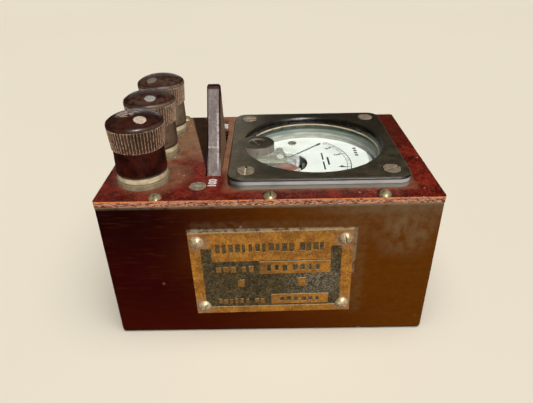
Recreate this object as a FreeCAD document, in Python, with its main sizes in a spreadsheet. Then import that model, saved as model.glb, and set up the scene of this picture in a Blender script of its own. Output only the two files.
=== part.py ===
"""A radio test meter unit: a small wooden box with a laminate top panel that carries a square panel meter,
three insulated screw-down terminals and one lever switch.

The frame: origin at the bottom centre of the case, +X to the right, +Y to the back, +Z up, millimetres.
Every driving size is a cell of the sheet "Sizes". A Size below is a number together with the formula that
makes it from those cells, so each property of each object stays bound to the sheet.
"""

import FreeCAD
import Part
import math
import os
import Sketcher

DOC = FreeCAD.newDocument("radio_test_meter")
SHEET = DOC.addObject("Spreadsheet::Sheet", "Sizes")
NODES = []
TINY = 1e-4


class Size:
    """A number and the formula that makes it from the sheet's cells."""

    def __init__(self, value, formula):
        self.value = value
        self.formula = formula

    def __add__(self, other):
        return joined(self, "+", other)

    def __radd__(self, other):
        return joined(other, "+", self)

    def __sub__(self, other):
        return joined(self, "-", other)

    def __rsub__(self, other):
        return joined(other, "-", self)

    def __mul__(self, other):
        return joined(self, "*", other)

    def __rmul__(self, other):
        return joined(other, "*", self)

    def __truediv__(self, other):
        return joined(self, "/", other)

    def __neg__(self):
        return joined(0, "-", self)


def number(size):
    return size.value if isinstance(size, Size) else float(size)


def text_of(size):
    return size.formula if isinstance(size, Size) else str(size)


def joined(left, sign, right):
    a, b = number(left), number(right)
    value = {"+": a + b, "-": a - b, "*": a * b, "/": a / b if b else 0.0}[sign]
    return Size(value, "(" + text_of(left) + " " + sign + " " + text_of(right) + ")")


CELLS = {
    # case and panel
    "case_width": 115.0,
    "case_depth": 76.8,
    "case_height": 56.0,
    "wall": 4.8,
    "base_board": 5.0,
    "edge_round": 1.5,
    "top_ease": 0.35,
    "block_side": 8.0,
    "block_height": 15.0,
    "panel_thickness": 2.45,
    "panel_corner": 1.0,
    "panel_screw_pitch": 37.6,
    "panel_screw_row": 36.2,
    # label plate
    "label_width": 56.3,
    "label_height": 35.8,
    "label_thickness": 0.8,
    "label_x": 0.6,
    "label_drop": 30.1,
    "label_screw_pitch": 50.6,
    "label_screw_rise": 28.7,
    "label_turn": 0.9,
    # meter
    "meter_x": 17.2,
    "meter_y": -0.3,
    "flange_side": 62.8,
    "flange_height": 3.9,
    "flange_corner": 5.2,
    "flange_round": 0.9,
    "flange_screw_offset": 25.05,
    "bore": 26.0,
    "window": 27.2,
    "glass_radius": 27.3,
    "glass_thickness": 1.8,
    "glass_top": 0.5,
    "barrel": 28.5,
    "barrel_inside": 26.5,
    "barrel_depth": 32.0,
    "barrel_floor": 2.5,
    "spigot_depth": 6.0,
    "dial_radius": 25.0,
    "dial_drop": 5.3,
    "dial_thickness": 0.6,
    "dial_hole": 10.8,
    "pivot_offset": 12.5,
    "zero_offset": 21.4,
    "boss": 6.6,
    "coil_depth": 12.6,
    "core_radius": 6.4,
    "shoe_bore": 7.8,
    "magnet_inner": 13.0,
    "magnet_outer": 20.0,
    "pin_throw": 1.2,
    # terminals
    "terminal_x": -43.9,
    "terminal_pitch": 22.6,
    "base_radius": 9.0,
    "base_height": 1.85,
    "seat_radius": 8.75,
    "seat_height": 2.45,
    "stem_radius": 2.0,
    "insert_radius": 4.0,
    "head_height": 19.7,
    "skirt_low": 8.75,
    "skirt_high": 8.5,
    "band_low": 8.96,
    "band_high": 9.48,
    "dot_radius": 2.0,
    "fit": 0.05,
    # switch
    "lever_x": -19.5,
    "lever_thickness": 4.3,
    "fin_thickness": 4.8,
    "fin_bevel": 0.5,
    "slot_x": -19.75,
    "slot_width": 5.7,
    "slot_half": 21.3,
    "pivot_drop": 27.0,
    "bracket_sheet": 1.2,
    "bracket_half": 33.0,
    "switch_screw_x": -24.3,
    "switch_screw_y": 28.5,
    "roller_arm": 12.0,
}


def fill_sheet():
    for row, (name, value) in enumerate(CELLS.items(), start=1):
        SHEET.set("A" + str(row), name)
        SHEET.set("B" + str(row), str(value))
        SHEET.setAlias("B" + str(row), name)
    DOC.recompute()


# ---------------------------------------------------------------- helpers for objects and sketches


def bind(thing, path, size):
    """Sets one property to a size: a formula if it has one or is part of a placement, else a number."""
    if "." in path or isinstance(size, Size):
        thing.setExpression(path, text_of(size))
    else:
        setattr(thing, path, size)


def put(thing, x, y, z):
    for letter, size in zip("xyz", (x, y, z)):
        bind(thing, "Placement.Base." + letter, size)
    return thing


TURNS = {
    "+Z": FreeCAD.Rotation(),
    "-Z": FreeCAD.Rotation(FreeCAD.Vector(1, 0, 0), 180),
    "+X": FreeCAD.Rotation(FreeCAD.Vector(0, 1, 0), 90),
    "-X": FreeCAD.Rotation(FreeCAD.Vector(0, 1, 0), -90),
    "+Y": FreeCAD.Rotation(FreeCAD.Vector(1, 0, 0), -90),
    "-Y": FreeCAD.Rotation(FreeCAD.Vector(1, 0, 0), 90),
}


def rod(name, radius, height, x, y, z, along="+Z"):
    thing = DOC.addObject("Part::Cylinder", name)
    thing.Placement.Rotation = TURNS[along]
    bind(thing, "Radius", radius)
    bind(thing, "Height", height)
    return put(thing, x, y, z)


def cone(name, low, high, height, x, y, z, along="+Z"):
    thing = DOC.addObject("Part::Cone", name)
    thing.Placement.Rotation = TURNS[along]
    bind(thing, "Radius1", low)
    bind(thing, "Radius2", high)
    bind(thing, "Height", height)
    return put(thing, x, y, z)


def block(name, x_low, x_high, y_low, y_high, z_low, z_high):
    thing = DOC.addObject("Part::Box", name)
    for side, low, high in (("Length", x_low, x_high), ("Width", y_low, y_high), ("Height", z_low, z_high)):
        bind(thing, side, joined(high, "-", low))
    return put(thing, x_low, y_low, z_low)


def hexagon(name, flats, height, x, y, z, turn=0.0):
    thing = DOC.addObject("Part::Prism", name)
    thing.Polygon = 6
    thing.Placement.Rotation = FreeCAD.Rotation(FreeCAD.Vector(0, 0, 1), turn)
    bind(thing, "Circumradius", flats / (2 * math.cos(math.radians(30))))
    bind(thing, "Height", height)
    return put(thing, x, y, z)


def fuse(name, things):
    if len(things) == 1:
        return things[0]
    thing = DOC.addObject("Part::MultiFuse", name)
    thing.Shapes = things
    return thing


def cut(name, base, tools):
    thing = DOC.addObject("Part::Cut", name)
    thing.Base = base
    thing.Tool = fuse(name + "_tools", tools)
    return thing


def common(name, first, second):
    thing = DOC.addObject("Part::Common", name)
    thing.Base = first
    thing.Tool = second
    return thing


def node(label, things):
    """Names one sub-part. Several separate solids of one kind become a group under one label."""
    if not isinstance(things, list):
        things = [things]
    if len(things) == 1:
        thing = things[0]
    else:
        thing = DOC.addObject("Part::Compound", label + "_group")
        thing.Links = things
    thing.Label = label
    NODES.append(thing)
    return thing


def new_body(label):
    body = DOC.addObject("PartDesign::Body", label)
    body.Label = label
    NODES.append(body)
    return body


def new_sketch(body, name, plane="XY_Plane", offset=0.0):
    sketch = body.newObject("Sketcher::SketchObject", name)
    planes = [feature for feature in body.Origin.OriginFeatures if feature.Role == plane]
    sketch.AttachmentSupport = [(planes[0], "")]
    sketch.MapMode = "FlatFace"
    bind(sketch, "AttachmentOffset.Base.z", offset)
    return sketch


def label_sketch(body, name, offset):
    """A sketch parallel to the front face, centred on the label plate and turned with it."""
    sketch = new_sketch(body, name, "XZ_Plane", offset)
    bind(sketch, "AttachmentOffset.Base.x", S.label_x)
    bind(sketch, "AttachmentOffset.Base.y", LABEL_Z)
    bind(sketch, "AttachmentOffset.Rotation.Angle", S.label_turn)
    return sketch


def pin_point(sketch, curve, point, x, y):
    """Ties one point of a curve to its distances from the sketch's origin."""
    for kind, axis, size in (("DistanceX", -2, x), ("DistanceY", -1, y)):
        if number(size) == 0.0:
            sketch.addConstraint(Sketcher.Constraint("PointOnObject", curve, point, axis))
            continue
        index = sketch.addConstraint(Sketcher.Constraint(kind, -1, 1, curve, point, number(size)))
        if isinstance(size, Size):
            sketch.setExpression("Constraints[" + str(index) + "]", size.formula)


def draw_outline(sketch, points):
    """A closed outline of straight edges through the points, each tied to the origin."""
    start = sketch.GeometryCount
    count = len(points)
    places = [FreeCAD.Vector(number(x), number(y), 0) for x, y in points]
    for i in range(count):
        sketch.addGeometry(Part.LineSegment(places[i], places[(i + 1) % count]), False)
    for i in range(count):
        following = start + (i + 1) % count
        sketch.addConstraint(Sketcher.Constraint("Coincident", start + i, 2, following, 1))
    for i, (x, y) in enumerate(points):
        pin_point(sketch, start + i, 1, x, y)


def draw_rectangle(sketch, x_low, x_high, y_low, y_high):
    draw_outline(sketch, [(x_low, y_low), (x_high, y_low), (x_high, y_high), (x_low, y_high)])


def draw_circle(sketch, radius, x, y):
    centre = FreeCAD.Vector(number(x), number(y), 0)
    curve = sketch.addGeometry(Part.Circle(centre, FreeCAD.Vector(0, 0, 1), number(radius)), False)
    pin_point(sketch, curve, 3, x, y)
    index = sketch.addConstraint(Sketcher.Constraint("Radius", curve, number(radius)))
    if isinstance(radius, Size):
        sketch.setExpression("Constraints[" + str(index) + "]", radius.formula)


def pad(body, sketch, length, name, middle=False):
    feature = body.newObject("PartDesign::Pad", name)
    feature.Profile = sketch
    if middle:
        feature.SideType = "Symmetric"
    bind(feature, "Length", length)
    return feature


def pocket(body, sketch, depth, name):
    """Cuts the sketch's outline into the body, away from the sketch's normal."""
    DOC.recompute()
    before = body.Tip.Shape.Volume
    feature = body.newObject("PartDesign::Pocket", name)
    feature.Profile = sketch
    bind(feature, "Length", depth)
    DOC.recompute()
    if feature.Shape.Volume > before - 1e-6:
        raise RuntimeError(name + " cut nothing")
    return feature


def revolution(body, sketch, name):
    """Turns a profile drawn on the XZ plane about its vertical axis."""
    feature = body.newObject("PartDesign::Revolution", name)
    feature.Profile = sketch
    feature.ReferenceAxis = (sketch, ["V_Axis"])
    feature.Angle = 360
    return feature


def edges_where(feature, test):
    DOC.recompute()
    names = []
    for index, edge in enumerate(feature.Shape.Edges, start=1):
        ends = [vertex.Point for vertex in edge.Vertexes]
        if test(edge, ends):
            names.append("Edge" + str(index))
    if not names:
        raise RuntimeError("no edges found on " + feature.Name)
    return names


def dress(body, kind, feature, edges, size, name):
    """Adds a Fillet or a Chamfer to the named edges of a feature."""
    thing = body.newObject("PartDesign::" + kind, name)
    thing.Base = (feature, edges)
    bind(thing, "Radius" if kind == "Fillet" else "Size", size)
    DOC.recompute()
    return thing


def round_head(name, head, height, shank, length, x, y, z, along, slot_turn):
    """A round-head screw: a dome standing on its seat at x, y, z, a slot across it and a shank below."""
    ball = (head * head + height * height) / (2 * height)
    dome = DOC.addObject("Part::Sphere", name + "_ball")
    bind(dome, "Radius", ball)
    dome.Placement.Base.z = height - ball
    column = DOC.addObject("Part::Cylinder", name + "_column")
    bind(column, "Radius", head)
    bind(column, "Height", height)
    stud = DOC.addObject("Part::Cylinder", name + "_stud")
    bind(stud, "Radius", shank)
    bind(stud, "Height", length)
    stud.Placement.Base.z = -length
    slot = DOC.addObject("Part::Box", name + "_slot")
    slot_width, slot_depth = head * 0.3, height * 0.5
    slot.Length, slot.Width, slot.Height = head * 3, slot_width, height
    turn = FreeCAD.Rotation(FreeCAD.Vector(0, 0, 1), slot_turn)
    corner = turn.multVec(FreeCAD.Vector(-head * 1.5, -slot_width / 2, height - slot_depth))
    slot.Placement = FreeCAD.Placement(corner, turn)
    head_solid = common(name + "_dome", dome, column)
    screw = cut(name, fuse(name + "_whole", [head_solid, stud]), [slot])
    screw.Placement.Rotation = TURNS[along]
    return put(screw, x, y, z)


def flat_screw(name, head, rim, flare, shank, length, x, y, z, slot_turn, slot=(0.9, 0.7), along="+Z"):
    """A flush screw: a disc as high as its rim, a flare down to the shank and a slot. z is its top face."""
    disc = DOC.addObject("Part::Cylinder", name + "_disc")
    disc.Radius, disc.Height = head, rim
    disc.Placement.Base.z = -rim
    parts = [disc]
    if flare:
        taper = DOC.addObject("Part::Cone", name + "_taper")
        taper.Radius1, taper.Radius2, taper.Height = shank, head, flare
        taper.Placement.Base.z = -rim - flare
        parts.append(taper)
    stud = DOC.addObject("Part::Cylinder", name + "_stud")
    stud.Radius, stud.Height = shank, length
    stud.Placement.Base.z = -length
    parts.append(stud)
    groove = DOC.addObject("Part::Box", name + "_slot")
    width, depth = slot
    groove.Length, groove.Width, groove.Height = head * 3, width, depth * 2
    turn = FreeCAD.Rotation(FreeCAD.Vector(0, 0, 1), slot_turn)
    corner = turn.multVec(FreeCAD.Vector(-head * 1.5, -width / 2, -depth))
    groove.Placement = FreeCAD.Placement(corner, turn)
    screw = cut(name, fuse(name + "_whole", parts), [groove])
    screw.Placement.Rotation = TURNS[along]
    return put(screw, x, y, z)


fill_sheet()


class Cells:
    """The sheet's sizes by name: S.wall is the cell "wall"."""

    def __getattr__(self, name):
        return Size(CELLS[name], "Sizes." + name)


S = Cells()
TOP = S.case_height + S.panel_thickness
UNDER_PANEL = S.case_height
BACK = S.case_depth / 2
FRONT = -BACK
RIGHT = S.case_width / 2
LEFT = -RIGHT
PANEL_SCREWS = [(0.3 + i * S.panel_screw_pitch, j * S.panel_screw_row) for j in (-1, 1) for i in (-1, 0, 1)]
LABEL_Z = TOP - S.label_drop
LABEL_SCREWS = [
    (i * (S.label_screw_pitch / 2), j * (S.label_screw_rise / 2))
    for i in (-1, 1)
    for j in (-1, 1)
]
PIVOT_X = S.meter_x - S.pivot_offset
ZERO_X = S.meter_x - S.zero_offset
TERMINALS = [("front", -1, 0.40, 34.0), ("middle", 0, 0.15, 18.0), ("back", 1, 0.40, -24.0)]
SEAT_TOP = TOP + S.base_height + S.seat_height


# ---------------------------------------------------------------- case


def board(label, x_low, x_high, y_low, y_high, screws):
    """One side board of the box: rounded outer edges, an eased top edge and pilot holes for its screws."""
    body = new_body(label)
    outline = new_sketch(body, label + "_outline")
    draw_rectangle(outline, x_low, x_high, y_low, y_high)
    slab = pad(body, outline, S.case_height, label + "_slab")
    if screws:
        DOC.recompute()
        holes = new_sketch(body, label + "_pilots", offset=S.case_height)
        for x, y in screws:
            draw_circle(holes, 1.25, x, y)
        slab = pocket(body, holes, 11.0, label + "_pilot_holes")
    if label == "case_front_board":
        holes = label_sketch(body, label + "_label_pilots", -FRONT)
        for x, z in LABEL_SCREWS:
            draw_circle(holes, 0.95, x, z)
        slab = pocket(body, holes, 4.7, label + "_label_pilot_holes")
    half_width, half_depth = number(RIGHT), number(BACK)
    clear_x, clear_y = half_width - number(S.wall), half_depth - number(S.wall)
    near = number(S.edge_round) + 0.1

    def on_outside(point):
        on_end = abs(abs(point.x) - half_width) < TINY
        on_face = abs(abs(point.y) - half_depth) < TINY
        return on_end or on_face

    def outer(edge):
        """True for an edge on the box's outer faces or their rounded corners."""
        box = edge.BoundBox
        along_face = abs(box.Center.y) > half_depth - near and box.YLength < near
        along_end = abs(box.Center.x) > half_width - near and box.XLength < near
        small = box.XLength < 3 and box.YLength < 3
        hole = small and abs(box.Center.x) < clear_x and abs(box.Center.y) > clear_y
        return (along_face or along_end) and not (hole and edge.Curve.TypeId == "Part::GeomCircle")

    def vertical_corner(ends):
        upright = abs(ends[0].x - ends[-1].x) < TINY and abs(ends[0].y - ends[-1].y) < TINY
        at_corner = abs(abs(ends[0].x) - half_width) < TINY and abs(abs(ends[0].y) - half_depth) < TINY
        return len(ends) == 2 and upright and at_corner

    def low_outer(edge, ends):
        return len(ends) == 2 and all(abs(p.z) < TINY and on_outside(p) for p in ends) and outer(edge)

    def rounded(edge, ends):
        return vertical_corner(ends) or low_outer(edge, ends)

    slab = dress(body, "Fillet", slab, edges_where(slab, rounded), S.edge_round, label + "_rounds")

    def high_outer(edge, ends):
        middle = edge.BoundBox.Center
        return all(abs(p.z - number(S.case_height)) < TINY for p in ends) and middle.z > 1 and outer(edge)

    dress(body, "Chamfer", slab, edges_where(slab, high_outer), S.top_ease, label + "_ease")
    return body


def make_case():
    inner_x, inner_y = RIGHT - S.wall, BACK - S.wall

    for side, low, high in (("front", FRONT, FRONT + S.wall), ("back", BACK - S.wall, BACK)):
        pilots = [place for place in PANEL_SCREWS if number(place[1]) * number(low) > 0]
        board("case_" + side + "_board", LEFT, RIGHT, low, high, pilots)
    for side, low, high in (("left", LEFT, LEFT + S.wall), ("right", RIGHT - S.wall, RIGHT)):
        board("case_" + side + "_board", low, high, -inner_y, inner_y, [])

    base = block("base_slab", -inner_x, inner_x, -inner_y, inner_y, 0.0, S.base_board)
    side = S.block_side
    corners = [(i, j) for i in (-1, 1) for j in (-1, 1)]
    holes, blocks, screws = [], [], []
    for index, (i, j) in enumerate(corners):
        tag = str(index)
        x, y = i * (inner_x - side / 2), j * (inner_y - side / 2)
        holes.append(rod("base_hole" + tag, 1.65, S.base_board, x, y, 0.0))
        holes.append(cone("base_sink" + tag, 3.35, 1.65, 1.85, x, y, 0.0))
        post = block("corner_post" + tag, x - side / 2, x + side / 2, y - side / 2, y + side / 2,
                     S.base_board, S.base_board + S.block_height)
        pilot = rod("corner_pilot" + tag, 1.45, 11.0, x, y, S.base_board)
        blocks.append(cut("corner_block" + tag, post, [pilot]))
        screws.append(flat_screw("base_screw" + tag, 3.0, 0.1, 1.5, 1.4, 14.0, x, y, 0.15, 35 * index,
                                 along="-Z"))
    node("case_base_board", cut("base_drilled", base, holes))
    node("case_corner_blocks", blocks)
    node("case_base_screws", screws)


# ---------------------------------------------------------------- top panel and label plate


def make_panel():
    body = new_body("top_panel")
    outline = new_sketch(body, "panel_outline", offset=UNDER_PANEL)
    draw_rectangle(outline, LEFT, RIGHT, FRONT, BACK)
    slab = pad(body, outline, S.panel_thickness, "panel_slab")

    def upright(edge, ends):
        return len(ends) == 2 and abs(ends[0].z - ends[1].z) > 1

    dress(body, "Fillet", slab, edges_where(slab, upright), S.panel_corner, "panel_corners")
    holes = new_sketch(body, "panel_holes", offset=TOP)
    draw_circle(holes, S.barrel + 0.3, S.meter_x, S.meter_y)
    for i in (-1, 1):
        for j in (-1, 1):
            step = S.flange_screw_offset
            draw_circle(holes, 1.7, S.meter_x + i * step, S.meter_y + j * step)
        draw_circle(holes, 1.55, S.switch_screw_x, i * S.switch_screw_y)
    for _, row, _, _ in TERMINALS:
        draw_circle(holes, S.stem_radius + 0.1, S.terminal_x, row * S.terminal_pitch)
    for x, y in PANEL_SCREWS:
        draw_circle(holes, 1.3, x, y)
    slot = S.slot_width / 2
    draw_rectangle(holes, S.slot_x - slot, S.slot_x + slot, -S.slot_half, S.slot_half)
    drilled = pocket(body, holes, S.panel_thickness, "panel_drilled")

    def sink_edge(edge, ends):
        centre = edge.BoundBox.Center
        near = abs(centre.x - number(S.switch_screw_x)) < 0.1
        return near and abs(centre.z - number(TOP)) < TINY

    dress(body, "Chamfer", drilled, edges_where(drilled, sink_edge), 1.6, "panel_sinks")

    turns = [85, 95, 20, 60, 10, 120]
    node("panel_screws", [
        round_head("panel_screw" + str(i), 2.2, 1.6, 1.2, 12.0, x, y, TOP, "+Z", turns[i])
        for i, (x, y) in enumerate(PANEL_SCREWS)
    ])


def make_label():
    body = new_body("label_plate")
    outline = label_sketch(body, "label_outline", -FRONT)
    half_width, half_height = S.label_width / 2, S.label_height / 2
    draw_rectangle(outline, -half_width, half_width, -half_height, half_height)
    plate = pad(body, outline, S.label_thickness, "label_slab")

    def corner(edge, ends):
        return len(ends) == 2 and abs(ends[0].y - ends[1].y) > 0.5

    dress(body, "Fillet", plate, edges_where(plate, corner), 0.5, "label_corners")
    holes = label_sketch(body, "label_holes", -FRONT + S.label_thickness)
    for x, z in LABEL_SCREWS:
        draw_circle(holes, 1.0, x, z)
    pocket(body, holes, S.label_thickness, "label_drilled")
    slot_turns = [45, 100, -35, 95]
    lean = math.radians(number(S.label_turn))
    screws = []
    for i, (along, up) in enumerate(LABEL_SCREWS):
        x = S.label_x + along * math.cos(lean) - up * math.sin(lean)
        z = LABEL_Z + along * math.sin(lean) + up * math.cos(lean)
        y = FRONT - S.label_thickness
        name = "label_screw" + str(i)
        screws.append(round_head(name, 2.45, 1.35, 0.9, 5.4, x, y, z, "-Y", slot_turns[i]))
    node("label_screws", screws)


# ---------------------------------------------------------------- terminals


def head_profile(body, name, bottom):
    """The knurled head's outline: a skirt, a band widening upwards and a low dome, bored for its insert."""
    sketch = new_sketch(body, name, "XZ_Plane")
    hole = S.insert_radius + S.fit
    height = S.head_height
    skirt_top, band_top = height * 0.43, height * 0.82
    dome = [(0.985, 0.86), (0.93, 0.893), (0.8, 0.935), (0.62, 0.968), (0.4, 0.989), (0.2, 0.998)]
    points = [(hole, bottom), (S.skirt_low, bottom), (S.skirt_high, bottom + skirt_top)]
    points += [(S.band_low, bottom + skirt_top), (S.band_high, bottom + band_top)]
    points += [(S.band_high * out, bottom + height * up) for out, up in dome]
    points += [(0.0, bottom + height), (0.0, bottom + 13.0), (hole, bottom + 13.0)]
    draw_outline(sketch, points)
    return sketch


def make_terminals():
    bases, seats, stems, washers, tags, nuts = [], [], [], [], [], []
    x = S.terminal_x
    for name, row, gap, azimuth in TERMINALS:
        y = row * S.terminal_pitch
        bore = rod(name + "_bore", S.stem_radius + 0.02, 60.0, x, y, 20.0)
        flange = rod(name + "_flange", S.base_radius, S.base_height, x, y, TOP)
        bases.append(cut(name + "_base", flange, [bore]))
        ring = cone(name + "_ring", S.seat_radius, S.seat_radius - 0.25, S.seat_height, x, y,
                    TOP + S.base_height)
        seats.append(cut(name + "_seat", ring, [bore]))
        stem_foot = UNDER_PANEL - 13.0
        stems.append(rod(name + "_stem", S.stem_radius, SEAT_TOP + 11.0 - stem_foot, x, y, stem_foot))
        disc = rod(name + "_disc", 5.0, 0.8, x, y, UNDER_PANEL - 0.8)
        washers.append(cut(name + "_washer", disc, [bore]))
        eye = rod(name + "_eye", 3.6, 0.5, x, y, UNDER_PANEL - 4.3)
        tail = block(name + "_tail", x, x + 9.0, y - 1.2, y + 1.2, UNDER_PANEL - 4.3, UNDER_PANEL - 3.8)
        tags.append(cut(name + "_tag", fuse(name + "_tag_blank", [eye, tail]), [bore]))
        for tier, drop in (("upper", 3.8), ("lower", 7.3)):
            raw = hexagon(name + "_" + tier + "_hexagon", 7.0, 3.0, x, y, UNDER_PANEL - drop, 15 * row)
            nuts.append(cut(name + "_" + tier + "_nut", raw, [bore]))

        bottom = SEAT_TOP + gap
        core = rod(name + "_core", S.insert_radius, 12.5, x, y, bottom)
        thread = rod(name + "_thread", S.stem_radius + S.fit, 12.5, x, y, bottom)
        node(name + "_terminal_insert", cut(name + "_insert", core, [thread]))

        turned = DOC.addObject("PartDesign::Body", name + "_head_body")
        revolution(turned, head_profile(turned, name + "_profile", bottom), name + "_head_turned")
        put(turned, x, y, 0.0)
        angle = math.radians(azimuth)
        out = 5.7
        dot_x, dot_y = x + out * math.sin(angle), y - out * math.cos(angle)
        filling = rod(name + "_filling", S.dot_radius, 8.0, dot_x, dot_y, bottom + S.head_height - 3.0)
        node(name + "_terminal_head", cut(name + "_head", turned, [filling]))
        node(name + "_terminal_dot", common(name + "_dot", turned, filling))
    node("terminal_bases", bases)
    node("terminal_seats", seats)
    node("terminal_stems", stems)
    node("terminal_washers", washers)
    node("terminal_tags", tags)
    node("terminal_nuts", nuts)


# ---------------------------------------------------------------- meter case and window


def turned_solid(label, points, x, y, z):
    """A solid turned about a vertical axis through x, y; the points are radius and height above z."""
    body = new_body(label)
    sketch = new_sketch(body, label + "_profile", "XZ_Plane")
    draw_outline(sketch, points)
    revolution(body, sketch, label + "_turned")
    put(body, x, y, z)
    return body


def make_bezel():
    """The square front moulding: flange, spigot, bored window with a rounded lip and zero-screw boss."""
    body = new_body("meter_bezel")
    x, y = S.meter_x, S.meter_y
    half = S.flange_side / 2
    outline = new_sketch(body, "flange_outline", offset=TOP)
    draw_rectangle(outline, x - half, x + half, y - half, y + half)
    slab = pad(body, outline, S.flange_height, "flange_slab")

    def upright(edge, ends):
        return len(ends) == 2 and abs(ends[0].z - ends[1].z) > 1

    slab = dress(body, "Fillet", slab, edges_where(slab, upright), S.flange_corner, "flange_corners")

    def top_rim(edge, ends):
        return all(abs(p.z - number(TOP + S.flange_height)) < TINY for p in ends)

    dress(body, "Fillet", slab, edges_where(slab, top_rim), S.flange_round, "flange_rounds")
    spigot = new_sketch(body, "spigot_circle", offset=TOP - S.spigot_depth)
    draw_circle(spigot, S.barrel, x, y)
    pad(body, spigot, S.spigot_depth, "spigot")

    bore = new_sketch(body, "bore_profile", "XZ_Plane", -y)
    bind(bore, "AttachmentOffset.Base.x", x)
    low, glass, face = TOP - S.spigot_depth - 1.0, TOP + S.glass_top, TOP + S.flange_height
    lip, lip_drop = S.window - S.bore, 2.9
    seat = S.glass_radius + 0.2
    points = [(0.0, low), (seat, low), (seat, glass), (S.bore, glass)]
    lip_steps = 8
    for step in range(lip_steps + 1):
        angle = math.radians(90.0 * step / lip_steps)
        points.append((S.bore + lip * (1 - math.cos(angle)), face - lip_drop * (1 - math.sin(angle))))
    points += [(S.window, face + 1.0), (0.0, face + 1.0)]
    draw_outline(bore, points)
    DOC.recompute()
    before = body.Tip.Shape.Volume
    groove = body.newObject("PartDesign::Groove", "window_bore")
    groove.Profile = bore
    groove.ReferenceAxis = (bore, ["V_Axis"])
    groove.Angle = 360
    DOC.recompute()
    if groove.Shape.Volume > before - 1000:
        raise RuntimeError("the window bore cut nothing")

    boss = new_sketch(body, "boss_profile", "XZ_Plane", -y)
    bind(boss, "AttachmentOffset.Base.x", ZERO_X)
    ease = 0.8
    points = [(0.0, glass), (S.boss, glass)]
    for step in range(5):
        angle = math.radians(22.5 * step)
        points.append((S.boss - ease * (1 - math.cos(angle)), face - ease * (1 - math.sin(angle))))
    points.append((0.0, face))
    draw_outline(boss, points)
    revolution(body, boss, "zero_boss")

    recess = new_sketch(body, "zero_recess", offset=face)
    draw_circle(recess, 3.35, ZERO_X, y)
    pocket(body, recess, 2.0, "zero_recess_cut")
    hole = new_sketch(body, "zero_hole", offset=face)
    draw_circle(hole, 2.35, ZERO_X, y)
    pocket(body, hole, 5.0, "zero_hole_cut")
    step = S.flange_screw_offset
    corners = [(x + i * step, y + j * step) for i in (-1, 1) for j in (-1, 1)]
    for name, radius, depth in (("screw_sinks", 3.2, 1.9), ("screw_holes", 1.6, 6.0)):
        circles = new_sketch(body, name, offset=face)
        for place in corners:
            draw_circle(circles, radius, *place)
        pocket(body, circles, depth, name + "_cut")

    turns = [88, 5, 30, 150]
    node("meter_flange_screws", [
        flat_screw("flange_screw" + str(i), 3.0, 2.1, 0, 1.5, 13.0, px, py, face + 0.25, turns[i])
        for i, (px, py) in enumerate(corners)
    ])
    nuts = []
    for i, (px, py) in enumerate(corners):
        raw = hexagon("flange_hexagon" + str(i), 5.5, 2.2, px, py, UNDER_PANEL - 2.2, 20 * i)
        nuts.append(cut("flange_nut" + str(i), raw, [rod("flange_bore" + str(i), 1.53, 3.0, px, py,
                                                         UNDER_PANEL - 2.6)]))
    node("meter_flange_nuts", nuts)


def make_window():
    x, y = S.meter_x, S.meter_y
    glass_top = TOP + S.glass_top
    disc = rod("glass_disc", S.glass_radius, S.glass_thickness, x, y, glass_top - S.glass_thickness)
    hole = rod("glass_hole", 2.6, 4.0, ZERO_X, y, glass_top - 3.0)
    node("meter_glass", cut("glass_drilled", disc, [hole]))
    glass_low = glass_top - S.glass_thickness
    ring_height = glass_low - (TOP - S.spigot_depth) - 0.1
    inner = S.dial_radius + 0.2
    turned_solid("meter_inner_ring", [(inner, 0.0), (S.glass_radius, 0.0), (S.glass_radius, ring_height),
                                      (inner + 0.6, ring_height), (inner, ring_height - 0.6)],
                 x, y, TOP - S.spigot_depth)


def make_barrel():
    """The moulded cup behind the panel, with three posts that carry the magnet."""
    x, y = S.meter_x, S.meter_y
    floor = TOP - S.barrel_depth
    height = S.barrel_depth - S.spigot_depth
    outside = rod("barrel_outside", S.barrel, height, x, y, floor)
    inside = rod("barrel_inside", S.barrel_inside, height, x, y, floor + S.barrel_floor)
    studs = [rod("stud_hole" + str(j), 2.35, 6.0, x + 8.0, y + j * 11.0, floor - 1.0) for j in (-1, 1)]
    cup = cut("barrel_cup", outside, [inside] + studs)
    arm = (S.magnet_inner + S.magnet_outer) / 2
    post_foot = floor + S.barrel_floor
    post_places = [(x - 14.0, y - arm), (x - 14.0, y + arm), (x + 3.0 + arm, y)]
    posts = [
        rod("barrel_post" + str(i), 2.2, TOP - 18.0 - post_foot, px, py, post_foot)
        for i, (px, py) in enumerate(post_places)
    ]
    node("meter_barrel", fuse("barrel_whole", [cup] + posts))

    inside_floor = post_foot
    shanks, nuts = [], []
    for j in (-1, 1):
        side = str(j + 1)
        sx, sy = x + 8.0, y + j * 11.0
        stem = rod("stud_stem" + side, 2.3, 16.0, sx, sy, floor - 11.0)
        head = hexagon("stud_head" + side, 7.0, 2.4, sx, sy, inside_floor, 12 * j)
        shanks.append(fuse("stud" + side, [stem, head]))
        for tier, drop in (("upper", 3.2), ("lower", 6.8)):
            raw = hexagon("stud_" + tier + side, 7.5, 3.0, sx, sy, floor - drop, 9 * j)
            bore = rod("stud_bore_" + tier + side, 2.33, 8.0, sx, sy, floor - 8.0)
            nuts.append(cut("stud_nut_" + tier + side, raw, [bore]))
    node("meter_studs", shanks)
    node("meter_stud_nuts", nuts)

    bed = block("couple_bed", x - 9.0, x + 3.0, y - 5.0, y + 5.0, inside_floor, inside_floor + 3.0)
    posts = [
        rod("couple_post" + str(j + 1), 0.9, 3.0, x - 3.0, y + j * 3.4, inside_floor + 3.0)
        for j in (-1, 1)
    ]
    heater = rod("couple_heater", 0.35, 6.8, x - 3.0, y - 3.4, inside_floor + 5.4, "+Y")
    node("meter_thermocouple", fuse("couple_whole", [bed, heater] + posts))


# ---------------------------------------------------------------- meter movement


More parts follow.
